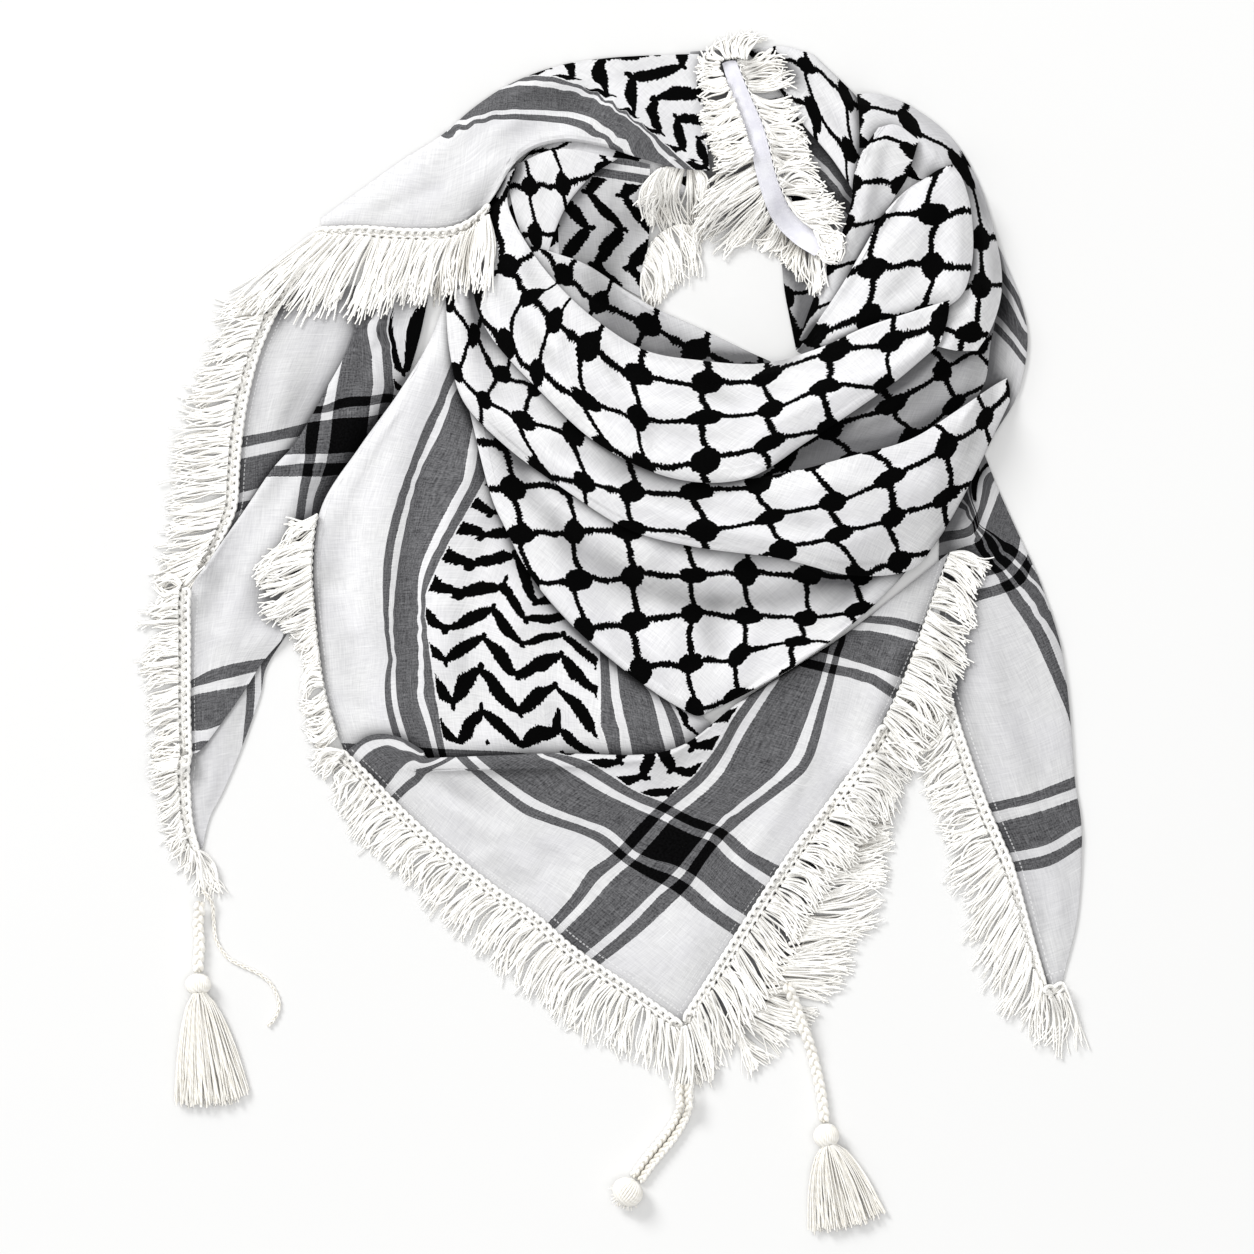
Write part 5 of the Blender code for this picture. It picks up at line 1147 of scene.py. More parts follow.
def combed_yarns(fringe, hem, tips, shuffle):
    """Where each yarn of a fringe leaves its hem, which way it and its side point, and how long it is."""
    run = run_along(hem)
    yarns = round(BUNDLE_YARNS * fringe.get("fullness", 1.0))
    tufts = max(2, round(run[-1] / BUNDLE_PITCH))
    before, after = (np.arange(END_TURN, turn + 1, END_TURN) for turn in fringe.get("turns", (0, 0)))
    middle = np.concatenate([(np.arange(tufts) + 0.5) * run[-1] / tufts, 0 * before, 0 * after + run[-1]])
    wild = fringe.get("wild", 1.0)
    lean = np.concatenate([shuffle.normal(0, TUFT_LEAN * wild, tufts), -before, after])
    count = len(middle) * yarns
    tuft_length = np.repeat(varied(shuffle, TUFT_LENGTHS, len(middle)), yarns)
    bow, bow_spread = TUFT_BOW
    tuft_bow = np.repeat(shuffle.normal(bow, bow_spread * wild, len(middle)), yarns)
    in_tuft = varied(shuffle, YARN_PLACES, count)
    start = np.clip(np.repeat(middle, yarns) + in_tuft * BUNDLE_PITCH * BUNDLE_WIDTH, 0, run[-1])
    root = read_line(hem, run, start)
    way = read_line(tips, run, start) - root
    length = np.linalg.norm(way, axis=1) * tuft_length * varied(shuffle, YARN_LENGTHS, count)
    ahead = unit(way)
    side = read_line(np.gradient(hem, axis=0), run, start)
    side = unit(side - ahead * (side * ahead).sum(axis=1)[:, None])
    turn = np.repeat(lean, yarns) + in_tuft * BUNDLE_FAN + shuffle.normal(0, YARN_LEAN * wild, count)
    turn = np.radians(turn)[:, None]
    ahead, side = ahead * np.cos(turn) + side * np.sin(turn), side * np.cos(turn) - ahead * np.sin(turn)
    edged = start[:, None] < fringe.get("edging", 1.0) * run[-1]
    inset = np.where(edged, SEAM_GAP + HEADING_DEPTH - HEADING_OVERLAP, SEAM_GAP - fringe.get("back", 0))
    root = root + ahead * (inset + shuffle.uniform(0, ROOT_SCATTER, (count, 1)) * (wild - 1))
    return root, ahead, side, length[:, None] - inset, tuft_bow


def fringe_yarns(fringe, hem, tips, pile, shuffle):
    """Loose yarns from the edging to the tips: each tuft leans and bows, each yarn curls on its own."""
    root, ahead, side, free, tuft_bow = combed_yarns(fringe, hem, tips, shuffle)
    count = len(root)
    wild = fringe.get("wild", 1.0)
    share = np.linspace(0, 1, YARN_STATIONS)[None, :, None]
    droop = np.array((0.0, -fringe.get("droop", DROOP))) * shuffle.uniform(*DROOP_SPREAD, (count, 1))
    whole = ahead * free + droop
    shrink = np.minimum(free / np.linalg.norm(whole, axis=1, keepdims=True), 1.0)[..., None]
    line = root[:, None] + shrink * ((ahead * free)[:, None] * share + droop[:, None] * share ** 2)
    bow = (tuft_bow[:, None, None] + shuffle.normal(0, YARN_BOW, (count, 1, 1))) * np.sin(math.pi * share)
    swirl = shuffle.uniform(0, 2 * math.pi, (count, 1, 1))
    reach, often = YARN_CURL
    curl = wild * shuffle.gamma(CURL_SHAPE, reach, (count, 1, 1)) * share ** 1.5
    line = line + side[:, None] * (bow + curl * np.sin(often * share + swirl))
    curl = shuffle.gamma(CURL_SHAPE, TIP_CURL, (count, 1, 1)) * share ** 2 * np.cos(often * share + swirl)
    line = line + ahead[:, None] * curl
    share = share[..., 0]
    radius = YARN_RADIUS * shuffle.uniform(*YARN_SPREAD, (count, 1)) * (1 - YARN_TAPER * share ** 3)
    high, rarity = YARN_HEAP
    start, span = HEAP_SPAN
    heap = shuffle.uniform(0, 1, (count, 1)) ** rarity * high * np.sin(math.pi * (start + span * share))
    floor = pile.read(line) + radius + YARN_CLEAR + heap
    return np.dstack([line, settle(floor, floor, YARN_ROUNDS)]), radius


def lay_fringe(fringe, pile, made, finish, number):
    """A fringe with its edging, as one piece on the pile."""
    shuffle = np.random.default_rng(SEED + number)
    hem, tips = hem_and_tips(fringe, made)
    edged = round(fringe.get("edging", 1.0) * len(hem))
    shapes = []
    for part, loops in ((slice(0, edged), HEADING_LOOPS), (slice(edged, None), SEAM_LOOPS)):
        if len(hem[part]) > 2:
            edge, edge_radius = heading(hem[part], (tips - hem)[part], pile, loops)
            pile.lay(np.dstack([edge[..., :2], edge[..., 2] + edge_radius]))
            shapes.append(tubes(edge, edge_radius, YARN_SIDES))
    in_edging = sum(len(corners) for corners, faces in shapes)
    yarns, yarn_radius = fringe_yarns(fringe, hem, tips, pile, shuffle)
    fine = filled(yarns.transpose(1, 0, 2), YARN_FILL)
    fine[..., 2] += YARN_RADIUS
    pile.lay(fine)
    corners, faces = join(shapes + [tubes(yarns, yarn_radius, YARN_SIDES)])
    piece = add_piece("yarns", fringe["name"], corners, faces, finish, "fringe_cotton")
    yarn_tone_and_shade = np.repeat(shuffle.uniform(0, 1, len(yarns)), YARN_STATIONS * YARN_SIDES)
    made[fringe["name"]] = dict(piece=piece, corners=corners,
                                shade=np.concatenate([np.ones(in_edging), yarn_tone_and_shade]))


# ---- cords, knots and tassels ----

def cord_path(cord, pile):
    """The middle line of a cord, from its exit to its far end, resting on the pile."""
    path = even_curve(cord["route"], cord["step"])
    radius = cord["thick"] / 2
    turns = np.arange(8) * math.pi / 4
    ring = np.stack([np.cos(turns), np.sin(turns)], axis=1) * radius
    level = pile.read(path[:, None] + ring[None]).max(axis=1)
    on_table, on_cloth = CORD_CLEAR
    start = level + radius + np.where(level > TOUCH, on_cloth, on_table)
    return np.column_stack([path, settle(start[None], (level + radius)[None], CORD_ROUNDS)[0]])


def plaited(path, thick, plait, beside):
    """Three strands that cross over and under each other along a path."""
    run = run_along(path)
    way = unit(np.gradient(path, axis=0))
    across = unit(np.cross(way, (0.0, 0.0, 1.0)))
    up = np.cross(across, way)
    radius = thick * plait["yarn"]
    centres = []
    for k in range(PLAIT_STRANDS):
        turn = 2 * math.pi * (run / (thick * plait["pitch"]) + k / PLAIT_STRANDS)
        aside = thick * beside + thick * plait["swing"] * np.sin(turn)
        over = thick * plait["rise"] * np.sin(2 * turn)
        centres.append(path + across * aside[:, None] + up * over[:, None])
    taper = np.clip(np.minimum(run, run[-1] - run) / radius, PLAIT_TAPER, 1.0)
    return tubes(np.array(centres), radius * taper[None], PLAIT_SIDES)


def grooved(distance, groove):
    """Painted groove shade: 0 in the grooves between yarns, rising to 1 over them, by distance from the
    middle.
    """
    start, fade = groove
    return np.clip((distance - start) / fade, 0, 1)


def add_yarns(name, shape, shade, finish):
    piece = add_piece("yarns", name, *shape, finish, "fringe_cotton")
    note_points(piece, "yarn_tone_and_shade", shade)
    return piece


def facing(way):
    """The turn that lays a shape's length along a cord's end."""
    turn = math.atan2(way[1], way[0]) - math.pi / 2
    return np.array(((math.cos(turn), math.sin(turn)), (-math.sin(turn), math.cos(turn))))


def bound_ball(middle, way, size):
    """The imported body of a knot: yarns drawn over it side by side, from end to end."""
    yarns, radius = KNOT_YARNS
    around = np.arange(yarns)[:, None] * 2 * math.pi / yarns
    polar = np.linspace(KNOT_POLE, 1 - KNOT_POLE, KNOT_STATIONS)[None] * math.pi
    ball = np.stack([np.sin(polar) * np.cos(around), np.cos(polar) + 0 * around,
                     np.sin(polar) * np.sin(around)], axis=-1)
    ball = ball * (size / 2 - radius)
    ball[..., :2] = ball[..., :2] @ facing(way)
    return tubes(ball + middle, radius, KNOT_SIDES)


def cut_ends(middle, way, size, count, shuffle):
    """Short cut yarn ends that stand out of a knot."""
    share = np.linspace(0, 1, CUT_ENDS["stations"])[None, :, None]
    turn = math.atan2(way[1], way[0]) + shuffle.normal(0, CUT_ENDS["fan"], count)
    out = np.stack([np.cos(turn), np.sin(turn)], axis=1)
    reach = shuffle.uniform(CUT_ENDS["least"], CUT_ENDS["most"], (count, 1, 1)) * share
    plan = middle[:2] + out[:, None] * (size[0] / 2 - CUT_ENDS["inside"] + reach)
    share = share[..., 0]
    level = middle[2] + shuffle.normal(0, CUT_ENDS["spread"], (count, 1)) * (1 - CUT_ENDS["gather"] * share)
    level = np.maximum(level - CUT_ENDS["sag"] * share, LEAST_HEIGHT)
    return tubes(np.dstack([plan, level]), CUT_ENDS["radius"], YARN_SIDES)


def tie_knot(knot, middle, way, size, finish, shuffle):
    """A knot or knob on a cord's end, wound with yarn, with its cut ends if they show."""
    shapes = [bound_ball(middle, way, size)]
    if knot["cut_ends"]:
        shapes.append(cut_ends(middle, way, size, knot["cut_ends"], shuffle))
    corners, faces = join(shapes)
    local = corners - middle
    local[:, :2] = local[:, :2] @ facing(way).T
    # painted shade in the knot's grooves
    shade = grooved(np.linalg.norm(local / (size / 2), axis=1), KNOT_GROOVE)
    return add_yarns(knot["name"], (corners, faces), shade, finish)


def hang_tassel(tassel, knot, middle, finish, shuffle):
    """A tassel's skirt: yarns that fan out from inside its knot to an even cut."""
    tips = np.array(tassel["tips"], float)
    head = middle[:2] + unit(tips - middle[:2]) * (knot["length"] / 2 - SKIRT_START)
    along = unit(tips - head)
    side = np.array((-along[1], along[0]))
    spread = np.sqrt(shuffle.uniform(0, 1, SKIRT_YARNS))
    angle = shuffle.uniform(0, 2 * math.pi, SKIRT_YARNS)
    across, over = (spread * np.cos(angle))[:, None], (spread * np.sin(angle))[:, None]
    share = np.linspace(0, 1, YARN_STATIONS)[None, :]
    width = tassel["head_width"] + (tassel["tip_width"] - tassel["head_width"]) * share ** SKIRT_FLARE
    reach = varied(shuffle, SKIRT_LENGTHS, (SKIRT_YARNS, 1)) * (1 - SKIRT_ROUND * across ** 2)
    bow, stray = (shuffle.normal(0, bend, (SKIRT_YARNS, 1)) for bend in SKIRT_BENDS)
    bend = bow * np.sin(math.pi * share) + stray * share ** 3
    place = head + along * (share * reach)[..., None] * np.linalg.norm(tips - head)
    place = place + side * ((width / 2 - 1) * across + bend)[..., None]
    high = tassel["thick"] * (1 - SKIRT_THIN * share)
    level = high / 2 * (1 + SKIRT_SPREAD * over) + KNOT_LIFT
    skirt = np.dstack([place, np.maximum(level, LEAST_HEIGHT)])
    shape = tubes(skirt, SKIRT_RADIUS, YARN_SIDES)
    shade = np.repeat(shuffle.uniform(*SKIRT_TONES, SKIRT_YARNS), YARN_STATIONS * YARN_SIDES)
    return add_yarns(tassel["name"], shape, shade, finish)


def lay_cord(cord, pile, finish):
    """One free cord with what is on its far end."""
    name, thick, plait = cord["name"], cord["thick"], PLAITS[cord["plait"]]
    shuffle = np.random.default_rng(SEED + len(name))
    path = cord_path(cord, pile)
    lying = path - (0, 0, thick * plait["drop"])
    corners, faces = join([plaited(lying, thick, plait, beside) for beside in plait["beside"]])
    from_middle = np.linalg.norm(corners[:, None] - lying[None], axis=2).min(axis=1)
    # painted shade in the grooves between strands
    piece = add_yarns(name, (corners, faces), grooved(from_middle / thick, GROOVE), finish)
    end, way = path[-1, :2], unit(path[-1, :2] - path[-3, :2])
    for knot in (knot for knot in KNOTS if knot["on"] == name):
        size = np.array((knot["width"], knot["length"], 0.0))
        size[2] = size[:2].min() * KNOT_HEIGHT
        middle = np.array((*(end + way * (size[1] / 2 + END_GAP)), size[2] / 2 + KNOT_LIFT))
        tie_knot(knot, middle, way, size, finish, shuffle)
        for tassel in (tassel for tassel in TASSELS if tassel["on"] == knot["name"]):
            hang_tassel(tassel, knot, middle, finish, shuffle)


# ---- the wound layers inside the neck roll ----

def wound_roll(finish):
    """The hidden layers of the neck roll: net cloth wound on itself, grooved between turns."""
    table = np.array(NECK_ROLL, float)
    turns = np.concatenate([table, table[:1] + (360, 0, 0, 0)])
    looped = np.concatenate([table[-1:] - (360, 0, 0, 0), turns, table[1:2] + (360, 0, 0, 0)])
    around, across = ROLL_STEPS
    sections = spline(looped, np.linspace(1, len(turns), around + 1)[:-1])
    share = np.linspace(0, 1, across)
    angle, inner, outer, high = (sections[:, k:k + 1] for k in range(4))
    turn = np.radians(angle)
    radius = inner + (outer - inner) * (1 - np.cos(math.pi * share)) / 2
    crown = np.sin(math.pi * share ** ROLL_LEAN).clip(0) ** ROLL_FULLNESS
    winding = ROLL_TURNS * share + ROLL_SPIRAL * turn / (2 * math.pi)
    groove = ROLL_GROOVE * np.abs(np.sin(math.pi * winding)) ** 0.5 - ROLL_GROOVE
    level = np.maximum((high - ROLL_SUNK) * crown + groove * (crown > ROLL_GROOVE_FROM), ROLL_BASE)
    ring = np.dstack([NECK[0] + radius * np.cos(turn), NECK[1] + radius * np.sin(turn), level])
    base = ring.copy()
    base[..., 2] = ROLL_BASE
    corners = np.concatenate([ring.reshape(-1, 3), base.reshape(-1, 3)])
    count = around * across
    index = np.arange(count).reshape(around, across)
    ahead = np.roll(index, -1, axis=0)
    top = np.stack([index[:, :-1], index[:, 1:], ahead[:, 1:], ahead[:, :-1]], axis=-1).reshape(-1, 4)
    inner_wall = np.stack([index[:, 0], ahead[:, 0], ahead[:, 0] + count, index[:, 0] + count], axis=-1)
    outer_wall = np.stack([ahead[:, -1], index[:, -1], index[:, -1] + count, ahead[:, -1] + count], axis=-1)
    faces = np.concatenate([top, top[:, ::-1] + count, inner_wall, outer_wall])
    piece = add_piece("cloth", "hidden_layers", corners, faces, finish, "net_cotton")
    along = np.broadcast_to(turn * ROLL_RADIUS, radius.shape)
    over = np.broadcast_to(share * ROLL_ROWS * NET_PITCH[1], radius.shape)
    a = NET_ORIGIN + (over + along) / math.sqrt(2)
    b = NET_ORIGIN + ROLL_SHIFT + (over - along) / math.sqrt(2)
    threads = np.dstack([a, b, np.zeros_like(a)]).reshape(-1, 3)
    note_points(piece, "threads", np.concatenate([threads, threads]))
    return ring


# ---- finishes ----

def operator(operation, swapped=False):
    """A method that adds one Math node."""
    def work(self, *others):
        values = (self, *others)
        return self.math(operation, *(values[::-1] if swapped else values))
    return work


class Value:
    """A number that changes over a surface; arithmetic on it adds Math nodes to its finish."""
    __add__ = __radd__ = operator("ADD")
    __mul__ = __rmul__ = operator("MULTIPLY")
    __sub__ = operator("SUBTRACT")
    __rsub__ = operator("SUBTRACT", swapped=True)
    __truediv__ = operator("DIVIDE")
    __gt__ = operator("GREATER_THAN")
    __lt__ = operator("LESS_THAN")
    least = operator("MINIMUM")
    most = operator("MAXIMUM")
    size = operator("ABSOLUTE")
    floor = operator("FLOOR")
    wave = operator("SINE")

    def __init__(self, finish, socket):
        self.finish = finish
        self.socket = socket

    def math(self, operation, *values):
        return self.finish.add("ShaderNodeMath", dict(operation=operation), dict(enumerate(values)))

    def to_and_fro(self):
        """0 to 1 and back again, over every two whole numbers."""
        return self.math("PINGPONG", self, 1.0)

    def off_whole(self):
        """Distance to the nearest whole number, from -0.5 to 0.5."""
        return self - (self + 0.5).floor()

    def within(self, low, high):
        """1 between two numbers, and 0 outside them."""
        return self.math("COMPARE", self, (low + high) / 2, (high - low) / 2)


class Finish:
    """A material being made; add() makes any node and gives back what comes out of it."""

    def __init__(self, name, roughness, **constants):
        self.material = bpy.data.materials.new(name)
        self.material.use_nodes = True
        self.tree = self.material.node_tree
        self.shader = self.tree.nodes["Principled BSDF"]
        self.surface(Roughness=roughness, **constants)

    def add(self, kind, settings, sockets, out=0):
        node = self.tree.nodes.new(kind)
        for name, value in settings.items():
            setattr(node, name, value)
        for key, value in sockets.items():
            self.feed(node.inputs[key], value)
        if isinstance(out, tuple):
            return tuple(Value(self, node.outputs[one]) for one in out)
        return Value(self, node.outputs[out])

    def feed(self, socket, value):
        if isinstance(value, Value):
            self.tree.links.new(value.socket, socket)
        else:
            socket.default_value = value

    def surface(self, **sockets):
        """Sets or links the shader's own sockets."""
        for name, value in sockets.items():
            self.feed(self.shader.inputs[name.replace("_", " ")], value)
        return self.material

    def noted(self, name, out):
        """What note_points kept under a name."""
        return self.add("ShaderNodeAttribute", dict(attribute_name=name), {}, out)

    def split(self, vector):
        return self.add("ShaderNodeSeparateXYZ", {}, {"Vector": vector}, ("X", "Y", "Z"))

    def spot(self):
        """The place on the part, in metres."""
        return self.add("ShaderNodeTexCoord", {}, {}, "Object")

    def noise(self, place, scale, detail=2.0):
        return self.add("ShaderNodeTexNoise", {}, {"Vector": place, "Scale": scale, "Detail": detail}, "Fac")

    def thread_noise(self, kind, x, y, detail=2.0):
        """Noise by thread places, scaled to about one bump for each whole number."""
        sockets = {"X": x, "Y": y, "Z": NOISE_DEPTHS[kind]}
        return self.noise(self.add("ShaderNodeCombineXYZ", {}, sockets, "Vector"), 1.0, detail)

    def blend(self, share, first, second, kind="MIX"):
        """A colour, share of the way from the first to the second."""
        first, second = (colour(one) if isinstance(one, str) else one for one in (first, second))
        settings = dict(data_type="RGBA", blend_type=kind)
        return self.add("ShaderNodeMix", settings, {0: share, 6: first, 7: second}, 2)

    def tone(self, kind, value):
        """How much of a tone there is where a value is so high."""
        low, high, most = TONES[kind]
        return self.add("ShaderNodeMapRange", {}, {0: value, 1: low, 2: high, 3: 0.0, 4: most})

    def bump(self, height, distance, strength):
        sockets = {"Height": height, "Distance": distance, "Strength": strength}
        return self.add("ShaderNodeBump", {}, sockets, "Normal")


def colour(name):
    """A named colour in the shader's own scale."""
    parts = [value / 255 for value in COLOURS[name]]
    return (*[part / 12.92 if part <= 0.04045 else ((part + 0.055) / 1.055) ** 2.4 for part in parts], 1.0)


def stripes(place):
    """1 where a thread is dyed grey."""
    masks = [place.within(low, high) for low, high in STRIPES]
    return sum(masks[1:], masks[0])


def stitches(across, along, edges, pitch, length):
    """A line of stitches between two distances from a hem."""
    return across.within(*edges) * ((along / pitch).off_whole().size() < length)


def teeth(along):
    """The small even steps that thick yarn makes along a figure's edge."""
    length, reach = TEETH
    return (along * (2 * math.pi / length)).wave() * reach


def leaves(a, b):
    """Zigzag rows of leaves between the two bands, mitred at the cloth's corners."""
    across, along = a.least(b), a.most(b)
    wave = ((across - LEAF_VALLEY) / LEAF_HALF_WAVE).to_and_fro()
    row = ((along - wave * LEAF_RISE) / LEAF_ROWS).off_whole() * LEAF_ROWS
    off_middle = 2 * wave - 1
    half = LEAF_THIN + LEAF_BELLY * (1 - off_middle * off_middle) + teeth(across)
    leaf = row.size() < half
    up_tick = (wave > 1 - LEAF_TICK_WIDTH) * row.within(0, LEAF_TICK)
    down_tick = (wave < LEAF_TICK_WIDTH) * row.within(-LEAF_TICK, 0)
    field = across.within(*LEAF_FIELD) * (1 - along.within(*SECOND_BAND)) * (along > LEAF_FIELD[0])
    return leaf.most(up_tick).most(down_tick) * field


def fishnet(a, b):
    """The net: lines that lean a little between knots, and an oval knot where they meet."""
    p = (a - b) / (math.sqrt(2) * NET_PITCH[0])
    q = (a + b) / (math.sqrt(2) * NET_PITCH[1])
    beside, above = p.off_whole(), q.off_whole()
    lean_down = (q - q.floor() - 0.5) * (2 * NET_SLANT[0])
    lean_across = (p - p.floor() - 0.5) * (2 * NET_SLANT[1])
    over, along = teeth(p * NET_PITCH[0]), teeth(q * NET_PITCH[1])
    down = (beside * NET_PITCH[0] - lean_down + along).size() < NET_LINE
    across = (above * NET_PITCH[1] - lean_across + over).size() < NET_LINE
    tall = ((p - beside + q - above) * 0.5).off_whole().size() * 2
    (wide_x, wide_y), (tall_x, tall_y) = NET_KNOTS
    x = beside * NET_PITCH[0] / (wide_x + tall * (tall_x - wide_x))
    y = above * NET_PITCH[1] / (wide_y + tall * (tall_y - wide_y))
    knot = (x * x + y * y) < 1 + (over + along) * NET_RUFFLE
    return down.most(across).most(knot) * (a > NET_FIELD) * (b > NET_FIELD)


def woven_cotton():
    """Thin cotton: slubby white, two bands of grey stripes, leaves and net in thick black yarn, greyed by
    painted shade.
    """
    finish = Finish("woven_cotton", 0.9, Specular_IOR_Level=0.04)
    a, b, dull = finish.split(finish.noted("threads", "Vector"))
    over, along = SLUB
    slub_a = finish.thread_noise("slub", a * over, b * along)
    slub_b = finish.thread_noise("slub", a * along + SLUB_APART, b * over)
    over, along = THICK_THREAD
    thick_a = finish.thread_noise("thick_a", a * over, b * along)
    thick_b = finish.thread_noise("thick_b", a * along, b * over)
    mottle = finish.thread_noise("mottle", a * MOTTLE, b * MOTTLE, 3.0)
    speck = finish.thread_noise("speck", a * SPECK, b * SPECK, 1.0)

    white = finish.blend(finish.tone("weave", slub_a + slub_b), "thin_white", "white")
    white = finish.blend(finish.tone("mottle", mottle), white, "cool_white")
    white = finish.blend(finish.tone("thick", thick_a.most(thick_b)), white, "thick_white")
    heather = finish.tone("heather", speck * 0.5 + (slub_a + slub_b) * 0.5)
    grey = finish.blend(heather, "deep_grey", "pale_grey")
    ink = finish.blend(finish.tone("ink", speck), "crossing_ink", "worn_ink")
    first = stripes(a + (slub_b - 0.5) * STRIPE_WAVER)
    second = stripes(b + (slub_a - 0.5) * STRIPE_WAVER)
    cloth = finish.blend(first.most(second), white, grey)
    cloth = finish.blend(first * second, cloth, ink)

    near, far = FIGURE_BUMPS
    slow, wide = FIGURE_DRIFT
    frayed = []
    for place, bumps, drift in ((a, "bumps_a", "drift_a"), (b, "bumps_b", "drift_b")):
        bump = finish.thread_noise(bumps, a * near, b * near)
        sway = finish.thread_noise(drift, a * slow, b * slow)
        frayed.append(place + (bump - 0.5) * far + (sway - 0.5) * wide)
    figure = leaves(*frayed).most(fishnet(*frayed))
    cloth = finish.blend(figure, cloth, finish.blend(speck, "black", "worn_black"))
    # painted shade: each stretch's own, and that beside taller cloth, multiplied in towards the shadow colour
    cloth = finish.blend(dull, cloth, "shadow", "MULTIPLY")

    start, end, pitch = STITCHES
    seam = stitches(a, b, (start, end), pitch, STITCH_LENGTH)
    seam = seam.most(stitches(b, a, (start, end), pitch, STITCH_LENGTH))
    cloth = finish.blend(seam * STITCH_SHOWS, cloth, "stitch")
    relief = slub_a + slub_b + figure * FIGURE_RELIEF + seam * STITCH_RELIEF
    return finish.surface(Base_Color=cloth, Normal=finish.bump(relief, *CLOTH_BUMP))


def fringe_yarn():
    """Soft twisted cotton yarn, warm white, each yarn a little different, greyed by painted shade under and
    beside taller things.
    """
    finish = Finish("fringe_yarn", 0.92, Sheen_Weight=0.2, Sheen_Roughness=0.5, Specular_IOR_Level=0.2)
    place = finish.spot()
    tone = finish.blend(finish.noted("yarn_tone_and_shade", "Fac"), "yarn_in_shade", "yarn")
    tone = finish.blend(finish.tone("cream", finish.noise(place, YARN_PATCHES)), tone, "cream_yarn")
    fuzz = finish.noise(place, YARN_FUZZ, 1.0)
    return finish.surface(Base_Color=tone, Normal=finish.bump(fuzz, *YARN_BUMP))


def braid_yarn():
    """The same yarn, drawn tight in the cords and knots: fine slanting plies show, with painted shade in
    their grooves.
    """
    finish = Finish("braid_yarn", 0.85, Sheen_Weight=0.15, Sheen_Roughness=0.5, Specular_IOR_Level=0.25)
    place = finish.spot()
    x, y, z = finish.split(place)
    plies = ((x + y * PLY_SLANT + z) * PLY_TURNS).wave()
    soft = finish.noise(place, PLY_PATCHES)
    tone = finish.blend(finish.tone("plies", plies + soft), "cord_ply", "cord")
    tone = finish.blend(finish.noted("yarn_tone_and_shade", "Fac"), "cord_groove", tone)
    return finish.surface(Base_Color=tone, Normal=finish.bump(plies * 0.5 + soft, *YARN_BUMP))


def tape_cotton():
    """Plain lilac-white tape, closely woven, with a line of stitches inside each edge, and random patches of
    painted fold shade.
    """
    finish = Finish("tape_cotton", 0.8, Sheen_Weight=0.1, Sheen_Roughness=0.5, Specular_IOR_Level=0.3)
    a, b = finish.split(finish.noted("threads", "Vector"))[:2]
    over, along = TAPE_SLUB
    slub_a = finish.thread_noise("slub", a * over, b * along)
    slub_b = finish.thread_noise("slub", a * along, b * over)
    pressed = finish.thread_noise("pressed", a * TAPE_FOLD_SHADE[0], b * TAPE_FOLD_SHADE[1])
    left, right = (stitches(a, b, line, *TAPE_STITCH) for line in TAPE_SEAMS)
    tone = finish.blend(slub_a * 0.5 + slub_b * 0.5, "tape_thin", "tape")
    # random patches of painted fold shade
    tone = finish.blend(finish.tone("pressed", pressed), tone, "tape_pressed")
    tone = finish.blend(left + right, tone, "tape_stitch")
    relief = slub_a + slub_b + (left + right) * TAPE_STITCH_RELIEF
    return finish.surface(Base_Color=tone, Normal=finish.bump(relief, *TAPE_BUMP))


def floor_paper():
    finish = Finish("floor_paper", 0.85, Specular_IOR_Level=0.1)
    tone = finish.blend(finish.noise(finish.spot(), 3.0), FLOOR_COLOUR, FLOOR_GRAIN)
    return finish.surface(Base_Color=tone)


# ---- camera, floor and light ----

def add_object(name, data, place=(0.0, 0.0, 0.0)):
    thing = bpy.data.objects.new(name, data)
    thing.location = place
    bpy.context.scene.collection.objects.link(thing)
    return thing


def add_camera():
    camera = bpy.data.cameras.new("camera")
    camera.sensor_width = SENSOR_MM
    camera.lens = SENSOR_MM * CAMERA_HEIGHT / PICTURE_WIDTH
    camera.clip_end = 4 * CAMERA_HEIGHT
    camera.dof.use_dof = False
    bpy.context.scene.camera = add_object("camera", camera, (*PICTURE_MIDDLE, CAMERA_HEIGHT))


def add_floor(finish):
    half = FLOOR_SIZE / 2
    corners = [(x, y, -FLOOR_DROP) for x, y in ((-half, -half), (half, -half), (half, half), (-half, half))]
    mesh = bpy.data.meshes.new("floor")
    mesh.from_pydata(corners, [], [(0, 1, 2, 3)])
    mesh.materials.append(finish)
    add_object("floor", mesh)


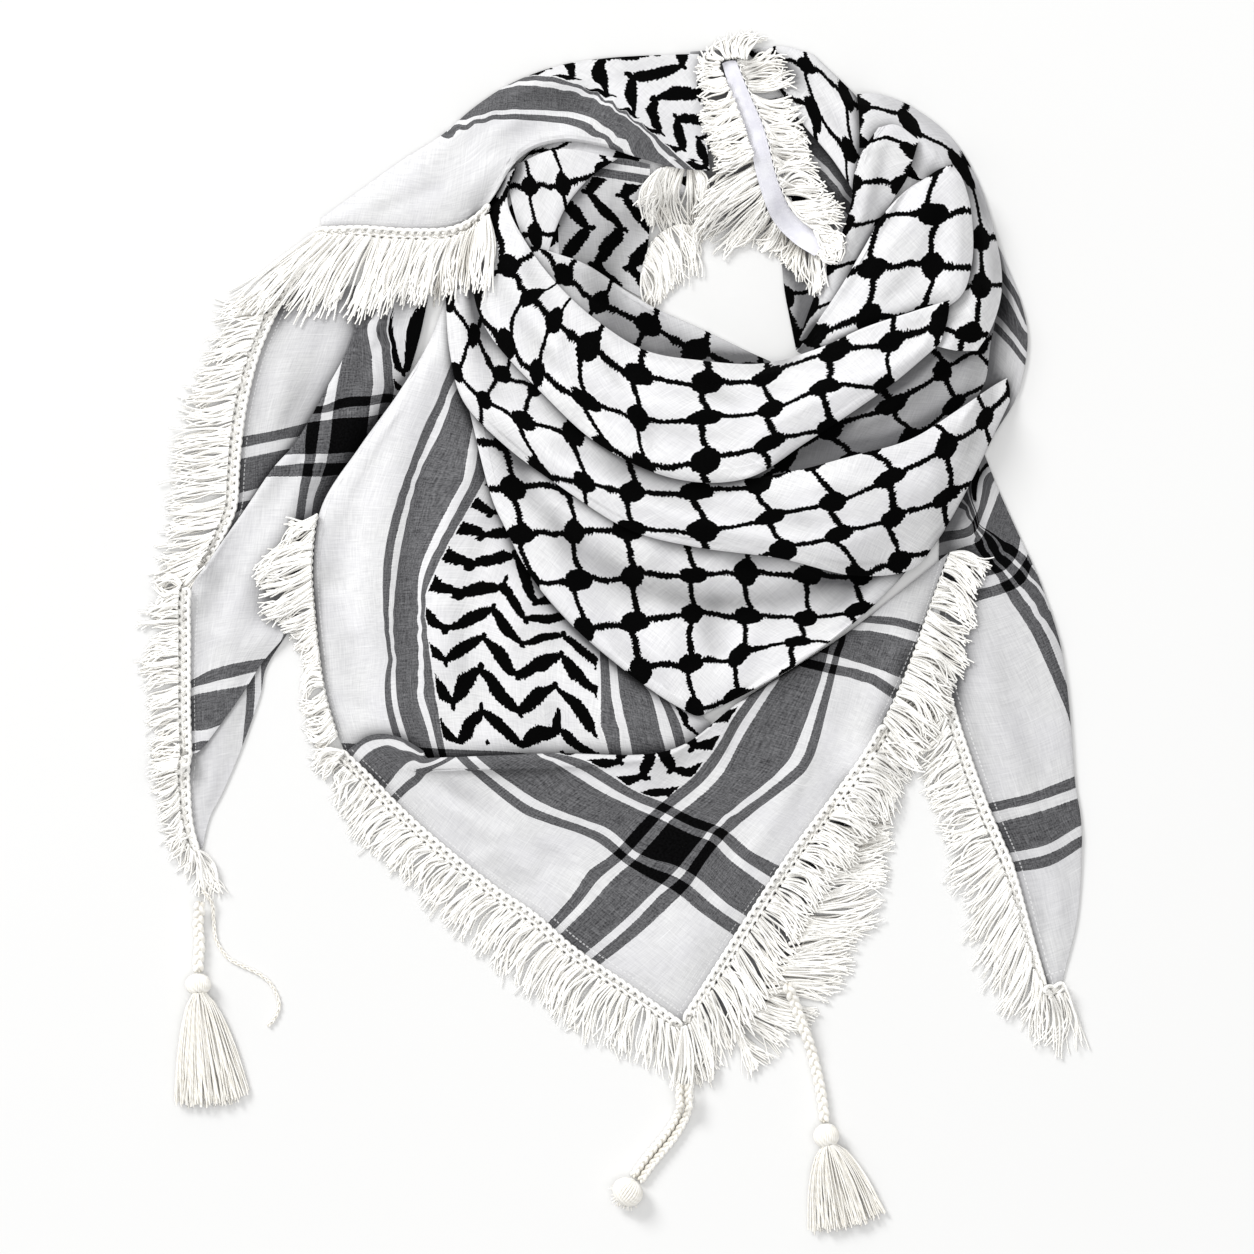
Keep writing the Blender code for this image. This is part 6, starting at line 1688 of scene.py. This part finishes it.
def add_light():
    scene = bpy.context.scene
    scene.view_settings.view_transform = "Standard"
    world = bpy.data.worlds.new("studio")
    world.use_nodes = True
    world.node_tree.nodes["Background"].inputs["Color"].default_value = (1.0, 1.0, 1.0, 1.0)
    world.node_tree.nodes["Background"].inputs["Strength"].default_value = WORLD_LIGHT
    scene.world = world
    for name, power, size, place, target in LAMPS:
        lamp = bpy.data.lights.new(name, "AREA")
        lamp.energy = power
        lamp.size = size
        way = Vector(target) - Vector(place)
        add_object(name, lamp, place).rotation_euler = way.to_track_quat("-Z", "Y").to_euler()


# ---- putting it together ----

def shade_contacts(pile, made):
    """Paints shade: greys cloth and yarn where they dive under, or lie close beside, something taller."""
    blurred = [(softened(pile.height, reach / pile.cell), reach, much) for reach, much in SHADE]

    def nearness(places):
        x, y = pile.cells(places)
        steps = [(level[x, y] - places[..., 2] - SHADE_FROM) / reach for level, reach, much in blurred]
        return sum(much * np.clip(step, 0, 1) for step, (level, reach, much) in zip(steps, blurred))

    darkest, paler, shaded = YARN_TONES
    for layer in made.values():
        if "corners" in layer:
            shade = layer["shade"] * paler + darkest - shaded * nearness(layer["corners"])
            note_points(layer["piece"], "yarn_tone_and_shade", np.clip(shade, 0, 1))
            continue
        near = softened(nearness(layer["top"]), CONTACT_BLUR) * layer["contact"]
        dull = np.linspace(*np.broadcast_to(layer["dull"], 2), near.shape[0])[:, None]
        marks = np.dstack([layer["threads"], np.clip(near + dull, 0, 1)]).reshape(-1, 3)
        note_points(layer["piece"], "threads", np.concatenate([marks, marks]))


def lay_all(finishes):
    """Every layer, lowest first; then the cords, which lie on what they cross."""
    pile = Pile()
    made = {}
    pile.lay_grid(wound_roll(finishes["cloth"]))
    for number, stretch in enumerate(STRETCHES):
        if "tips" in stretch:
            lay_fringe(stretch, pile, made, finishes["fringe"], number)
        else:
            lay_cloth(stretch, pile, made, finishes["tape" if stretch["name"] == "hem_tape" else "cloth"])
    shade_contacts(pile, made)
    for cord in CORDS:
        lay_cord(cord, pile, finishes["braid"])


def numbers(box):
    return [[float(value) for value in corner] for corner in box]


add_camera()
lay_all(dict(cloth=woven_cotton(), fringe=fringe_yarn(), braid=braid_yarn(), tape=tape_cotton()))
add_floor(floor_paper())
add_light()
